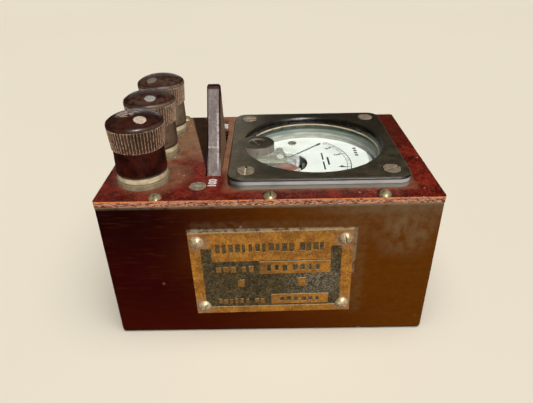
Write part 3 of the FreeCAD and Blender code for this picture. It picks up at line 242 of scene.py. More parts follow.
def varnished_wood():
    """Case boards: dark red-brown varnish, browner to the right and darker at the upper left as painted
    reflection and shade, hazed at a corner, dusty at the top with a painted highlight along its top edge.
    """
    p = Paint("varnished_wood", Specular_IOR_Level=0.15)
    grain = p.noise(0.9, 5, 0.6, (10, 10, 1))
    cloud = p.noise(22, 3, 0.5, (1.6, 1.6, 1), seed=3)
    mottle = p.noise(1.5, 5, 0.7, (1.5, 1.5, 1), seed=11)
    # Dark at the left and browner at the right is painted reflection and shade: the varnish's warm sheen
    # on the right, none on the left.
    shift = p.math("ADD", p.x, p.math("MULTIPLY", p.math("SUBTRACT", cloud, 0.5), 50))
    p.skin = p.mix(p.ramp(shift, -46, 34), (44, 3, 1), (88, 46, 3))
    # The upper left corner is painted darker still, as painted shade.
    dark_corner = p.times(p.ramp(p.z, 26, 56), p.ramp(p.x, -18, -50))
    p.coat((16, 1, 1), dark_corner, 0.75)
    browner = p.ramp(p.x, -45, 20)
    p.coat((116, 66, 20), p.ramp(mottle, 0.5, 0.72), browner, 0.2)
    p.coat((30, 5, 1), p.ramp(mottle, 0.5, 0.3), 0.2)
    p.coat((110, 58, 20), p.ramp(grain, 0.52, 0.75), 0.14)
    low_red = p.times(p.ramp(p.z, 24, 2), p.ramp(p.x, 56, 10))
    p.coat((60, 10, 1), low_red, 0.6)
    streaks = p.blotch(0.3, 0.66, 5, 5, 0.6, (0.8, 1, 1.2), seed=8)
    haze = p.times(p.around((46, 0, 46), 3, 15, (1, 0, 1)), streaks, 0.5)
    high = p.times(p.ramp(p.z, 40, 56), p.ramp(p.x, 6, 40), p.ramp(mottle, 0.3, 0.6), 0.22)
    on_front = p.ramp(p.y, FRONT + 5, FRONT + 3)
    p.coat((122, 102, 74), p.most(haze, high), on_front)
    halo_noise = p.blotch(0.3, 0.6, 2.2, 4, 0.6, seed=15)
    plate_top, plate_side = LABEL.z + 17.5, LABEL.x + 28
    halo_top = p.times(p.band(p.z, plate_top, plate_top + 3, 2.5), p.band(p.x, -24, 26, 5))
    halo_right = p.times(p.band(p.x, plate_side, plate_side + 3, 3), p.band(p.z, 12, 46, 5))
    p.coat((110, 92, 66), p.most(halo_top, halo_right), halo_noise, on_front, 0.2)
    along_top = p.band(p.z, plate_top + 0.1, plate_top + 1, 0.7)
    line_top = p.times(along_top, p.band(p.x, LABEL.x - 28, plate_side + 0.5, 1))
    along_side = p.band(p.x, plate_side, plate_side + 0.9, 0.6)
    line_right = p.times(along_side, p.band(p.z, LABEL.z, plate_top - 0.3, 1.2), 0.6)
    p.coat((146, 134, 112), p.most(line_top, line_right), halo_noise, on_front, 0.75)
    dust_noise = p.blotch(0.2, 0.55, 3, 4, 0.6, seed=5)
    # Along the board's rounded top edge under the panel: dust and a painted highlight where the edge
    # catches light.
    edge = p.ramp(p.z, UNDER_PANEL - 1, UNDER_PANEL - 0.4)
    dust_and_highlight_line = p.times(edge, dust_noise, p.ramp(p.x, -57, 10, 0.45, 0.8))
    below_edge = p.ramp(p.z, UNDER_PANEL - 6, UNDER_PANEL - 0.5)
    dusty_fall = p.times(below_edge, dust_noise, p.ramp(p.x, 0, 40), 0.5)
    p.coat((106, 92, 68), p.most(dust_and_highlight_line, dusty_fall))
    worn = p.times(p.edges(0.8), p.blotch(0.5, 0.75, 5, 4, 0.6, seed=2))
    p.coat((126, 66, 30), worn, 0.3)
    chip = p.around((33.5, 0, 0.4), 0.5, 0.9, (1, 0, 1))
    p.coat((196, 172, 110), chip, p.ramp(p.normal_y, 0, -0.3))
    p.coat((150, 130, 110), p.specks(3.2, 0.025, 4), 0.35)
    p.colour(p.skin)
    p.rough(p.ramp(p.noise(7, 4, 0.6, seed=9), 0.2, 0.8, 0.34, 0.5))
    p.bump(grain, 0.02)
    p.bump(mottle, 0.03)
    p.relief(0.1, 9, 2, 0.5, seed=1)
    return p.material


def laminate():
    """Top panel: maroon bonded laminate, dusty round what stands on it, with a torn fibrous cut edge that
    has a painted highlight along its top and painted shade on the walls of its holes and slot.
    """
    p = Paint("maroon_laminate", Specular_IOR_Level=0.18)
    cloud = p.noise(8, 5, 0.62)
    fine = p.noise(0.9, 5, 0.7, seed=4)
    face = p.mix(p.ramp(cloud, 0.35, 0.65), (82, 8, 5), (136, 34, 20))
    medium = p.noise(3.2, 5, 0.68, seed=31)
    face = p.over(face, (166, 66, 42), p.ramp(medium, 0.5, 0.68), 0.55)
    face = p.over(face, (50, 3, 2), p.ramp(medium, 0.5, 0.36), 0.6)
    face = p.over(face, (170, 88, 60), p.ramp(fine, 0.5, 0.64), 0.42)
    face = p.over(face, (46, 3, 3), p.ramp(fine, 0.5, 0.36), 0.36)
    rings = [
        p.times(p.around((TERMINAL_X + 3, TERMINAL_Y[name] + 2.5, 0), 9.5, 16), strength)
        for name, strength in zip(TERMINALS, (0.6, 1, 1))
    ]
    yard = p.times(p.band(p.x, -36, -25, 3), p.ramp(p.y, -14, 2))
    strip = p.times(p.band(p.x, -17.4, -14.4, 1), p.ramp(p.y, -24, -14))
    behind = p.times(p.ramp(p.y, 31, 35), p.ramp(p.x, 8, -14), 0.75)
    half = METER_HIGH.x - METER.x
    skirt_x = p.ramp(p.math("ABSOLUTE", p.math("SUBTRACT", p.x, METER.x)), half + 2.2, half + 0.3)
    skirt_y = p.ramp(p.math("ABSOLUTE", p.math("SUBTRACT", p.y, METER.y)), half + 2.6, half + 0.3)
    skirt = p.times(skirt_x, skirt_y, 0.55)
    patchy = p.blotch(0.22, 0.55, 3.5, 5, 0.68, seed=7)
    dust = p.times(p.most(*rings, yard, strip, behind, skirt), patchy)
    grit = p.ramp(p.noise(0.7, 5, 0.75, seed=17), 0.35, 0.65, 0.55, 1)
    face = p.over(face, (160, 130, 98), dust, grit, 0.9)
    film = p.times(p.blotch(0.5, 0.78, 1.7, 5, 0.75, seed=12), 0.4)
    face = p.over(face, (150, 104, 82), film)
    back_line = p.ramp(p.y, BACK - 1.3, BACK - 0.6)
    face = p.over(face, (150, 82, 26), back_line, 0.8)
    face = p.over(face, (225, 205, 185), p.specks(2, 0.07), 0.8)
    face = p.over(face, (225, 205, 180), p.specks(0.9, 0.035, 5), 0.8)
    layers = p.noise(0.5, 5, 0.75, (2.4, 2.4, 0.7), seed=2)
    cut = p.mix(p.ramp(layers, 0.42, 0.58), (96, 42, 28), (206, 152, 122))
    pits = p.blotch(0.54, 0.66, 0.7, 3, 0.7, (1.5, 1.5, 1), seed=6)
    cut = p.over(cut, (62, 28, 22), pits, 0.75)
    # A broken bright line along the top of the cut edge: torn fibres with a painted highlight where the
    # edge catches light.
    lip_highlight = p.times(p.ramp(p.z, TOP - 0.75, TOP - 0.2), p.blotch(0.38, 0.52, 1.6, 4, 0.7, seed=13))
    cut = p.over(cut, (224, 132, 74), lip_highlight, 0.95)
    cut = p.over(cut, (120, 104, 84), p.ramp(p.z, UNDER_PANEL + 0.5, UNDER_PANEL))
    # Cut walls away from the outer edges, inside the holes and the slot, are painted dark as painted
    # shade.
    outside = p.most(
        p.ramp(p.y, FRONT + 1.6, FRONT + 1.2),
        p.ramp(p.y, BACK - 1.6, BACK - 1.2),
        p.ramp(p.x, LEFT + 1.6, LEFT + 1.2),
        p.ramp(p.x, RIGHT - 1.6, RIGHT - 1.2),
    )
    cut = p.mix(outside, (58, 28, 22), cut)
    far = p.times(p.ramp(p.y, -14, 24), p.ramp(p.x, METER_HIGH.x - 1, METER_HIGH.x + 1))
    face = p.over(face, (70, 26, 12), far, 0.55)
    side = p.ramp(p.normal_z, 0.7, 0.4)
    p.colour(p.mix(side, face, cut))
    p.rough(p.ramp(dust, 0, 1, 0.42, 0.85))
    p.bump(fine, 0.05)
    p.bump(p.times(layers, side), 0.3)
    return p.material


def head_moulding(name, dustiness):
    """Terminal heads: near-black brown moulding, rubbed pale on the ridges, dusty and painted lighter on
    the right as painted light, with a painted highlight on the band's top rim and a painted reflection on
    the front dome.
    """
    p = Paint("head_moulding_" + name, Specular_IOR_Level=0.5)
    axis = p.from_axis(TERMINAL_X, TERMINAL_Y[name])
    band_radius = p.ramp(p.z, TOP + 13, TOP + 21, 8.98, 9.46)
    on_band = p.band(p.z, TOP + 13.3, TOP + 20.6, 0.2)
    crest = p.times(p.ramp(p.math("SUBTRACT", axis, band_radius), -0.3, -0.04), on_band)
    p.skin = p.mix(p.blotch(0.36, 0.66, 4, 5, 0.68), (26, 4, 1), (60, 18, 7))
    side = p.ramp(p.normal_z, 0.75, 0.35)
    # Right-facing sides get dust and painted light: they are painted lighter as if lit from the right.
    right = p.times(p.ramp(p.normal_x, -0.6, 0.7), side)
    grime = p.blotch(0.2, 0.55, 2.4, 5, 0.65, seed=3)
    below = p.ramp(p.z, TOP + 12.6, TOP + 13.4, max(0, 1.6 * dustiness - 0.6), 1)
    dust = p.times(p.most(p.times(right, 0.85), p.times(side, 0.3)), grime, below, dustiness)
    p.coat((112, 94, 74), dust)
    rubbed = p.times(crest, p.blotch(0.34, 0.6, 0.9, 5, 0.75, seed=6), 0.85)
    p.coat((180, 146, 120), rubbed)
    # A painted highlight along the band's top rim.
    rim = p.times(p.band(p.z, TOP + 20.3, TOP + 20.7, 0.15), p.blotch(0.4, 0.55, 1.4, 4, 0.7, seed=8))
    p.coat((168, 148, 128), rim, 0.7)
    settled = p.times(p.ramp(p.normal_z, 0.6, 0.9), p.blotch(0.34, 0.66, 2, 5, 0.75, seed=9), dustiness)
    p.coat((96, 76, 62), settled, 0.7)
    # Pale streaked patches on the front dome's upper left: a painted reflection of a bright background,
    # with scratches.
    scuff_and_reflection = p.most(
        p.around((TERMINAL_X - 2.4, TERMINAL_Y["front"] - 0.7, 0), 1.8, 3.8),
        p.times(p.around((TERMINAL_X + 0.8, TERMINAL_Y["front"] + 1.6, 0), 0.8, 2.8), 0.7),
    )
    streaky = p.blotch(0.47, 0.54, 0.9, 5, 0.7, (1.7, 0.6, 1), seed=21)
    p.colour(p.mix(p.times(scuff_and_reflection, streaky, 0.8), p.skin, (226, 204, 186)))
    p.rough(p.ramp(p.most(dust, settled), 0, 1, 0.34, 0.66))
    p.relief(0.06, 2.2, 4, 0.6, seed=2)
    p.relief(0.02, 0.5, 4, 0.6, seed=2)
    return p.material


def dot_enamel(name, colour):
    p = Paint("dot_enamel_" + name, Roughness=0.5)
    stain = p.blotch(0.4, 0.7, 1.1, 5, 0.7)
    p.colour(p.mix(p.times(stain, 0.55), colour, darker(colour, 0.62)))
    p.relief(0.05, 0.8, 4, 0.6)
    return p.material


def cream_ring():
    p = Paint("cream_ring", Roughness=0.5)
    stain = p.blotch(0.35, 0.7, 3, 5, 0.65, (1, 1, 0.5))
    p.skin = p.mix(stain, (196, 180, 146), (150, 132, 100))
    p.coat((84, 66, 48), p.ramp(p.z, TOP + 2.5, TOP + 2), 0.8)
    # A dark line round the top of the ring, under the head's skirt: a painted shadow in the gap.
    p.coat((22, 14, 8), p.ramp(p.z, TOP + 3.75, TOP + 4.05), 0.9)
    p.colour(p.mix(p.specks(1.6, 0.1), p.skin, (96, 78, 56)))
    p.relief(0.05, 0.9, 4, 0.6, (1, 1, 0.3))
    return p.material


def grey_collar():
    p = Paint("grey_collar", Roughness=0.65)
    p.skin = p.mix(p.blotch(0.3, 0.7, 2.6, 5, 0.7), (98, 86, 64), (144, 130, 102))
    p.coat((78, 58, 42), p.ramp(p.z, TOP + 0.7, TOP), 0.7)
    p.colour(p.mix(p.times(p.edges(0.4), 0.6), p.skin, (196, 186, 156)))
    p.relief(0.05, 0.7, 4, 0.6)
    return p.material


def screw_metal(name, bright, dull, metallic=0.85, face=None):
    """Old plated screws: a dull film, and where the height of their faces is given, a bright slot floor
    that is scraped metal with painted light.
    """
    p = Paint("screw_metal_" + name, Metallic=metallic)
    film = p.blotch(0.35, 0.68, 1.3, 5, 0.7)
    p.skin = p.mix(film, bright, dull)
    p.skin = p.mix(p.times(p.specks(0.7, 0.25), 0.7), p.skin, darker(dull, 0.4))
    if face is not None:
        # The slot floor is painted bright: scraped metal and painted light where it lies in shade.
        floor = p.times(p.ramp(p.z, face - 0.2, face - 0.35), p.ramp(p.normal_z, 0.6, 0.9))
        scraped_and_lit = p.blotch(0.2, 0.4, 1.2, 4, 0.6, seed=3)
        p.coat((248, 232, 202), floor, scraped_and_lit)
    p.colour(p.skin)
    p.rough(p.ramp(film, 0, 1, 0.38, 0.6))
    p.relief(0.05, 0.35, 4, 0.7)
    return p.material


ZERO_OFFSET = 21.4


def meter_moulding():
    """Meter front: satin black, filmed olive-grey, dusty in corners, with a painted grey sheen along its
    front edge.
    """
    p = Paint("meter_moulding", Specular_IOR_Level=0.5)
    film = p.blotch(0.35, 0.7, 4, 5, 0.7)
    grit = p.blotch(0.4, 0.7, 0.7, 5, 0.75, seed=6)
    upward = p.ramp(p.normal_z, 0.6, 0.95)
    p.skin = p.mix(p.times(film, upward, 0.7), (15, 11, 5), (48, 39, 20))
    left = p.ramp(p.x, METER.x - 14, METER.x - 31)
    low = p.ramp(p.y, METER.y + 26, METER.y - 30)
    worn = p.times(p.most(left, p.times(low, 0.35)), upward, p.ramp(film, 0, 1, 0.45, 0.95))
    p.coat((126, 116, 94), worn, 0.8)
    p.coat((112, 102, 80), grit, upward, 0.3)
    outer = p.ramp(p.from_axis(METER.x, METER.y), 27, 27.6)
    # The front face gets a painted grey sheen: a bright band where the glossy front would reflect light,
    # broken up by noise.
    face = p.times(p.ramp(p.normal_y, -0.45, -0.8), outer, p.ramp(p.z, TOP - 0.1, TOP))
    sheen = p.most(p.band(p.z, TOP + 1.8, TOP + 2.6, 0.5), p.times(p.ramp(p.z, TOP + 1.8, TOP + 1), 0.5))
    clean = p.ramp(p.x, METER.x - 29, METER.x - 24, 0.25, 1)
    sheen_breakup = p.ramp(p.noise(2.5, 5, 0.65, (3, 1, 0.6), seed=2), 0.2, 0.6, 0.6, 1)
    p.coat((168, 167, 163), face, sheen, clean, sheen_breakup)
    foot = p.times(p.ramp(p.z, TOP + 0.9, TOP), p.blotch(0.3, 0.6, 3, 4, 0.6, seed=4))
    p.coat((128, 112, 90), foot, 0.75)
    right_rim = p.ramp(p.x, METER_HIGH.x - 1.2, METER_HIGH.x - 0.4)
    p.coat((120, 118, 108), right_rim, p.ramp(p.normal_x, 0.3, 0.6), 0.5)
    boss = p.around((METER.x - ZERO_OFFSET, METER.y, 0), 6.7, 7)
    boss = p.times(boss, p.ramp(p.z, TOP + 0.2, TOP + 0.5))
    boss = p.times(boss, p.ramp(p.normal_z, 0.9, 0.3), p.blotch(0.2, 0.5, 3, 5, 0.65, seed=23))
    p.coat((132, 122, 112), boss, 0.75)
    p.colour(p.skin)
    gloss = p.times(p.ramp(p.normal_z, 0.6, 0.2), p.ramp(outer, 1, 0), p.ramp(boss, 1, 0))
    p.rough(p.math("SUBTRACT", p.ramp(film, 0, 1, 0.42, 0.52), p.times(gloss, 0.24)))
    p.bump(p.times(p.noise(0.6, 4, 0.65), upward), 0.02)
    return p.material


def clear_glass():
    p = Paint("clear_glass", Roughness=0.03, Alpha=0.12, Specular_IOR_Level=0.6)
    dust = p.blotch(0.55, 0.8, 2.5, 5, 0.7)
    rim = p.ramp(p.from_axis(METER.x, METER.y), 25.4, 26)
    clean = p.mix(rim, (214, 232, 224), (44, 74, 64))
    p.colour(p.mix(p.times(dust, p.ramp(rim, 1, 0)), clean, (235, 235, 225)))
    film = p.around((PIVOT.x - 2, PIVOT.y - 6, 0), 5, 13)
    film = p.times(film, p.blotch(0.25, 0.65, 2, 5, 0.7, seed=7))
    cover = p.math("ADD", p.math("MULTIPLY", dust, 0.05), p.math("MULTIPLY", film, 0.28))
    p.wire(p.math("ADD", p.math("MULTIPLY", rim, 0.6), cover), p.shader.inputs["Alpha"])
    return p.material


def ring_paint():
    """The spacer ring under the glass: dark grey above, lighter below, with streaks along it."""
    p = Paint("ring_paint", Roughness=0.4, Metallic=0.2)
    p.skin = p.mix(p.ramp(p.z, TOP - 3.2, TOP - 2.4), (156, 158, 150), (110, 118, 110))
    streaks = p.blotch(0.42, 0.6, 1, 4, 0.6, (7, 7, 0.5))
    p.coat((92, 98, 90), streaks, 0.6)
    p.colour(p.mix(p.times(p.blotch(0.4, 0.7, 4, 4, 0.6), 0.3), p.skin, (120, 120, 104)))
    p.relief(0.03, 0.8, 3, 0.6)
    return p.material


def dial_enamel():
    p = Paint("dial_enamel", Roughness=0.55)
    p.skin = p.mix(p.blotch(0.35, 0.7, 14, 4, 0.6), (236, 241, 233), (222, 229, 220))
    p.coat((200, 200, 188), p.blotch(0.6, 0.8, 2, 5, 0.7, seed=3), 0.3)
    p.colour(p.mix(p.specks(1.8, 0.05), p.skin, (150, 150, 140)))
    p.relief(0.01, 0.4, 3, 0.6)
    return p.material


def two_tone(name, roughness, blotch, first, second, relief=None, depth=0, **settings):
    """A simple finish: a blotch between two colours, and noise for relief."""
    p = Paint(name, Roughness=roughness, **settings)
    p.colour(p.mix(p.blotch(*blotch), first, second))
    if relief:
        p.relief(depth, *relief)
    return p.material


def bare_metal(name, colour, roughness, metallic=0.9, size=1.5):
    """Machined or rolled metal with a little tarnish."""
    p = Paint("bare_metal_" + name, Metallic=metallic)
    tarnish = p.blotch(0.35, 0.7, size, 5, 0.65)
    p.colour(p.mix(p.times(tarnish, 0.6), colour, darker(colour, 0.55)))
    p.rough(p.ramp(tarnish, 0, 1, roughness, min(1, roughness + 0.25)))
    p.relief(0.02, 0.3, 3, 0.6, (6, 1, 1))
    return p.material


def lever_moulding():
    """Switch lever: maroon moulding, grey in front as painted sheen, a painted highlight streak, dark
    bevels and crown, a painted-dark left side and a dusty right side painted lighter as painted light.
    """
    p = Paint("lever_moulding", Specular_IOR_Level=0.35)
    patch = p.noise(1.8, 5, 0.7, (0.7, 1, 2.2))
    # The front is painted grey-mauve as painted sheen of the lit front face.
    p.skin = p.mix(p.ramp(patch, 0.35, 0.7), (98, 86, 82), (128, 116, 112))
    smudge = p.blotch(0.5, 0.7, 0.8, 5, 0.75, (1, 1, 1.6), seed=5)
    p.coat((158, 148, 146), smudge, 0.4)
    # A painted highlight streak down the right edge of the front.
    highlight_streak = p.band(p.x, LEVER_HIGH.x - 1.1, LEVER_HIGH.x - 0.65, 0.3)
    high = p.band(p.z, TOP + 4, TOP + 17, 3)
    p.coat((190, 182, 182), highlight_streak, high, p.blotch(0.35, 0.6, 1, 4, 0.7, seed=4), 0.8)
    crease = p.times(p.band(p.z, TOP + 7.9, TOP + 8.2, 0.2), p.blotch(0.35, 0.55, 0.7, 4, 0.7, seed=9))
    p.coat((184, 174, 168), crease, 0.8)
    bevel = p.times(p.ramp(p.math("ABSOLUTE", p.normal_x), 0.25, 0.5), p.ramp(p.z, TOP + 2, TOP + 7))
    p.coat((44, 9, 12), bevel)
    p.coat((48, 8, 10), p.ramp(p.z, TOP + 25.2, TOP + 25.7))
    # The sides are lit and shaded copies: the left painted dark as painted shade, the right dust with
    # painted light.
    left = p.mix(p.ramp(patch, 0.4, 0.7), (40, 10, 10), (70, 24, 20))
    dusty_lit_side = p.mix(p.ramp(patch, 0.35, 0.65), (116, 84, 66), (158, 130, 104))
    dusty_lit_side = p.over(dusty_lit_side, (74, 26, 24), p.ramp(p.z, TOP + 18, TOP + 25))
    sides = p.mix(p.ramp(p.normal_x, -0.5, 0.5), left, dusty_lit_side)
    p.colour(p.mix(p.ramp(p.math("ABSOLUTE", p.normal_x), 0.85, 0.95), p.skin, sides))
    p.rough(p.ramp(patch, 0.2, 0.8, 0.38, 0.6))
    p.relief(0.04, 0.7, 4, 0.65)
    return p.material


# -------- finishes of the CAD nodes


INK = two_tone("dial_ink", 0.6, (0.4, 0.7, 0.7, 4, 0.7), (26, 28, 32), (78, 80, 84))
FILLING = two_tone("white_filling", 0.6, (0.5, 0.7, 0.6, 4, 0.7), (250, 244, 236), (196, 160, 146))
PUTTY = two_tone(
    "putty", 0.6, (0.4, 0.7, 2.5, 4, 0.6), (196, 174, 148), (154, 136, 112), (0.5, 4, 0.7), 0.05
)
FIBRE = two_tone(
    "fibre_board", 0.6, (0.4, 0.65, 1, 4, 0.7, (3, 3, 0.4)), (96, 52, 28), (60, 30, 16),
    (0.5, 4, 0.6, (3, 3, 0.4)), 0.05,
)
WIRE_COVER = two_tone(
    "wire_cover", 0.7, (0.4, 0.6, 0.5, 3, 0.6), (112, 26, 22), (70, 14, 12), (0.25, 2, 0.5), 0.06
)
FLOOR = two_tone(
    "floor_paint", 0.9, (0.3, 0.7, 400, 2, 0.5), (226, 217, 198), (228, 219, 200), (3, 2, 0.5), 0.01,
    Specular_IOR_Level=0.1,
)
FLANGE_TOP = METER_HIGH.z
ZERO_TOP = box_mm("meter_zero_screw")[1].z
BRIGHT, DULL = (190, 174, 150), (128, 112, 92)
BOARDS = "case_front_board case_back_board case_left_board case_right_board case_base_board "
BRASS_NODES = (
    "terminal_stems terminal_washers terminal_tags terminal_nuts meter_studs meter_stud_nuts "
    "front_terminal_insert middle_terminal_insert back_terminal_insert"
)
# Each finish, with the names of its nodes.
FINISHES = [
    (varnished_wood(), BOARDS + "case_corner_blocks"),
    (laminate(), "top_panel"),
    (screw_metal("olive_nickel", BRIGHT, DULL, 0.3), "switch_panel_screws"),
    (screw_metal("flange_nickel", BRIGHT, DULL, 0.3, FLANGE_TOP), "meter_flange_screws"),
    (screw_metal("dusty_nickel", (170, 158, 120), (104, 92, 64), 0.35), "panel_screws"),
    (screw_metal("bright_nickel", (190, 184, 170), (120, 112, 98)), "meter_dial_screws"),
    (screw_metal("cream_nickel", (226, 206, 166), (150, 120, 80), 0.5), "label_screws"),
    (
        screw_metal("dark_steel", (120, 116, 108), (66, 60, 54)),
        "case_base_screws switch_block_screws meter_flange_nuts",
    ),
    # The zero screw's dark colours are painted shade of the recess it sits in.
    (screw_metal("zero_brass", (88, 80, 62), (52, 46, 34), 0.3, ZERO_TOP), "meter_zero_screw"),
    (cream_ring(), "terminal_seats"),
    (grey_collar(), "terminal_bases"),
    (bare_metal("brass", (196, 152, 84), 0.3), BRASS_NODES),
    (
        bare_metal("khaki_brass", (158, 150, 122), 0.45, 0.2),
        "meter_top_bridge meter_bottom_bridge meter_zero_arm",
    ),
    (bare_metal("jewel_nickel", (236, 232, 220), 0.3, 0.3), "meter_jewel_screws"),
    (bare_metal("magnet", (120, 118, 112), 0.6, 0.2), "meter_magnet"),
    (bare_metal("iron", (206, 208, 204), 0.4, 0.15), "meter_pole_shoes meter_core meter_spindle"),
    (bare_metal("copper", (158, 92, 76), 0.45, 0.2, 0.6), "meter_coil"),
    (
        bare_metal("bronze", (200, 150, 96), 0.3),
        "meter_hairsprings switch_front_leaves switch_back_leaves",
    ),
    (
        bare_metal("plated_sheet", (140, 140, 132), 0.4),
        "switch_bracket switch_pivot_pin switch_roller",
    ),
    (meter_moulding(), "meter_bezel meter_barrel"),
    (clear_glass(), "meter_glass"),
    (ring_paint(), "meter_inner_ring"),
    (dial_enamel(), "meter_dial"),
    (INK, "meter_pointer"),
    (lever_moulding(), "switch_lever"),
    (FIBRE, "switch_contact_block meter_thermocouple"),
    (WIRE_COVER, "internal_wires"),
]
ENAMELS = ((222, 204, 182), (172, 168, 162), (128, 116, 104))
for terminal, enamel in zip(TERMINALS, ENAMELS):
    FINISHES.append((dot_enamel(terminal, enamel), terminal + "_terminal_dot"))
for material, names in FINISHES:
    for name in names.split():
        for slot in CAD[name].material_slots:
            slot.material = material

# The long straight corners of the boards, the panel and the lever are worn slightly round.
WORN_CORNERS = {
    0.5: "case_front_board case_back_board",
    0.4: "case_left_board case_right_board",
    0.25: "switch_lever",
    0.2: "top_panel",
}
for radius, names in WORN_CORNERS.items():
    for name in names.split():
        worn = CAD[name].modifiers.new("worn_corners", "BEVEL")
        worn.width = radius * MM
        worn.segments = 2
        worn.limit_method = "ANGLE"
        worn.angle_limit = math.radians(60)


# -------- new pieces


def mesh_of(name, points, faces):
    """A mesh from points in millimetres."""
    mesh = bpy.data.meshes.new(name)
    mesh.from_pydata([tuple(c * MM for c in point) for point in points], [], faces)
    return mesh


def stand(name, data):
    """A new object of a mesh, a text or a light, in the scene."""
    made = bpy.data.objects.new(name, data)
    bpy.context.collection.objects.link(made)
    return made


def piece(name, mesh, material, body):
    """An object of this mesh, riding on a body."""
    made = stand(name, mesh)
    mesh.materials.clear()
    mesh.materials.append(material)
    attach(made, body)
    return made


def circle(x, y, radius, sides):
    """Points (x, y) round a centre, anticlockwise from +X."""
    turns = [2 * math.pi * side / sides for side in range(sides)]
    return [(x + radius * math.cos(turn), y + radius * math.sin(turn)) for turn in turns]


def smooth(made, sharp):
    """Smooth shading, except across corners of more than sharp degrees."""
    made.data.shade_smooth()
    made.data.set_sharp_from_angle(angle=math.radians(sharp))


# The terminal heads: a lathe-turned skirt, a ridged band and a low dome.
RIDGES = 54
COLUMNS_PER_RIDGE = 8
RIDGE_DEPTH = 0.5
HEAD_BASE = box_mm("front_terminal_head")[0].z
HEAD_HEIGHT = box_mm("front_terminal_head")[1].z - HEAD_BASE
BAND_LOW = 0.43 * HEAD_HEIGHT
BAND_HIGH = 0.82 * HEAD_HEIGHT
BAND_RADIUS_LOW = 8.96
BAND_RADIUS_HIGH = 9.48
BORE_RADIUS = 4.05
BORE_HEIGHT = 12.6
# The skirt's outline from its foot to just under the band, as (radius, height).
SKIRT = ((8.4, 0), (8.62, 0.08), (8.72, 0.3), (8.62, BAND_LOW * 0.5), (8.5, BAND_LOW - 0.25))
SKIRT += ((8.5, BAND_LOW - 0.05), (8.8, BAND_LOW), (BAND_RADIUS_LOW, BAND_LOW + 0.15))
BAND_STEPS = 8
SHOULDER = ((BAND_RADIUS_HIGH, -0.05), (BAND_RADIUS_HIGH, 0.25), (9.42, 0.6))
DOME_RADIUS = 9.25
DOME_STEPS = 16
# Rows that close on the axis keep this small radius.
AXIS = 0.001


def dome_height(radius):
    return HEAD_HEIGHT - 0.0105 * radius**2 - 2.14e-4 * radius**4


def head_rows():
    """(radius, height, depth of the ridges) from the bore's closed end, out and up to the crown."""
    rows = [(AXIS, BORE_HEIGHT, 0), (BORE_RADIUS, BORE_HEIGHT, 0), (BORE_RADIUS, 0, 0)]
    rows += [(radius, height, 0) for radius, height in SKIRT]
    for step in range(BAND_STEPS + 1):
        along = step / BAND_STEPS
        height = BAND_LOW + 0.35 + (BAND_HIGH - BAND_LOW - 0.6) * along
        rows.append((BAND_RADIUS_LOW + (BAND_RADIUS_HIGH - BAND_RADIUS_LOW) * along, height, 1))
    rows += [(radius, BAND_HIGH + up, 0) for radius, up in SHOULDER]
    for step in range(DOME_STEPS + 1):
        radius = DOME_RADIUS * (1 - step / DOME_STEPS)
        rows.append((max(radius, AXIS), dome_height(radius), 0))
    return rows


def lathe_points(x, y, rows, columns):
    points = []
    for radius, height, depth in rows:
        for column in range(columns):
            turn = 2 * math.pi * column / columns
            wave = 0.5 - 0.5 * math.cos(turn * RIDGES)
            r = radius - depth * RIDGE_DEPTH * wave**0.7
            points.append((x + r * math.cos(turn), y + r * math.sin(turn), HEAD_BASE + height))
    return points


def ring_faces(row_count, columns):
    faces = []
    for row in range(row_count - 1):
        for column in range(columns):
            after = (column + 1) % columns
            low = row * columns
            high = low + columns
            faces.append((low + column, low + after, high + after, high + column))
    return faces


def cut_out(made, cutter):
    """Takes the cutter's volume out of a piece for good."""
    change = made.modifiers.new("cut", "BOOLEAN")
    change.operation = "DIFFERENCE"
    change.solver = "EXACT"
    change.object = cutter
    bpy.context.view_layer.update()
    settled = made.evaluated_get(bpy.context.evaluated_depsgraph_get())
    mesh = bpy.data.meshes.new_from_object(settled)
    made.modifiers.clear()
    made.data = mesh
    bpy.data.objects.remove(cutter)


def rod(name, centre, radius, low, high, sides=48):
    """A plain upright rod, for cutting."""
    outline = circle(centre.x, centre.y, radius, sides)
    points = [(x, y, height) for height in (low, high) for x, y in outline]
    ends = [tuple(reversed(range(sides))), tuple(range(sides, 2 * sides))]
    return stand(name, mesh_of(name, points, ends + ring_faces(2, sides)))


for terminal, dustiness in zip(TERMINALS, (0.35, 0.9, 1)):
    rows = head_rows()
    columns = RIDGES * COLUMNS_PER_RIDGE
    head_name = terminal + "_ridged_head"
    surface = lathe_points(TERMINAL_X, TERMINAL_Y[terminal], rows, columns)
    head = piece(
        head_name,
        mesh_of(head_name, surface, ring_faces(len(rows), columns)),
        head_moulding(terminal, dustiness),
        terminal + "_head",
    )
    dot_low, dot_high = box_mm(terminal + "_terminal_dot")
    dot_radius = (dot_high.x - dot_low.x) / 2
    recess = rod("recess", (dot_low + dot_high) / 2, dot_radius + 0.04, dot_low.z - 0.05, dot_high.z + 3)
    cut_out(head, recess)
    smooth(head, 40)
    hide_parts(terminal + "_terminal_head")


# The label plate: a raised brass frame, band and boxes on a sunk black field, with plain blocks.
PLATE_TURN = math.radians(0.9)
PLATE_HALF_WIDTH = 28.15
PLATE_HALF_HEIGHT = 17.9
PLATE_FACE = box_mm("label_plate")[0].y
PLATE_BACK = box_mm("label_plate")[1].y
SINK = 0.16
SLOPE = 0.07
# The face lies this far behind the CAD plate's, so that its waves stay inside it.
FACE_MARGIN = 0.06
GRID_SPACING = 1.4
GRID_MINIMUM = 0.3
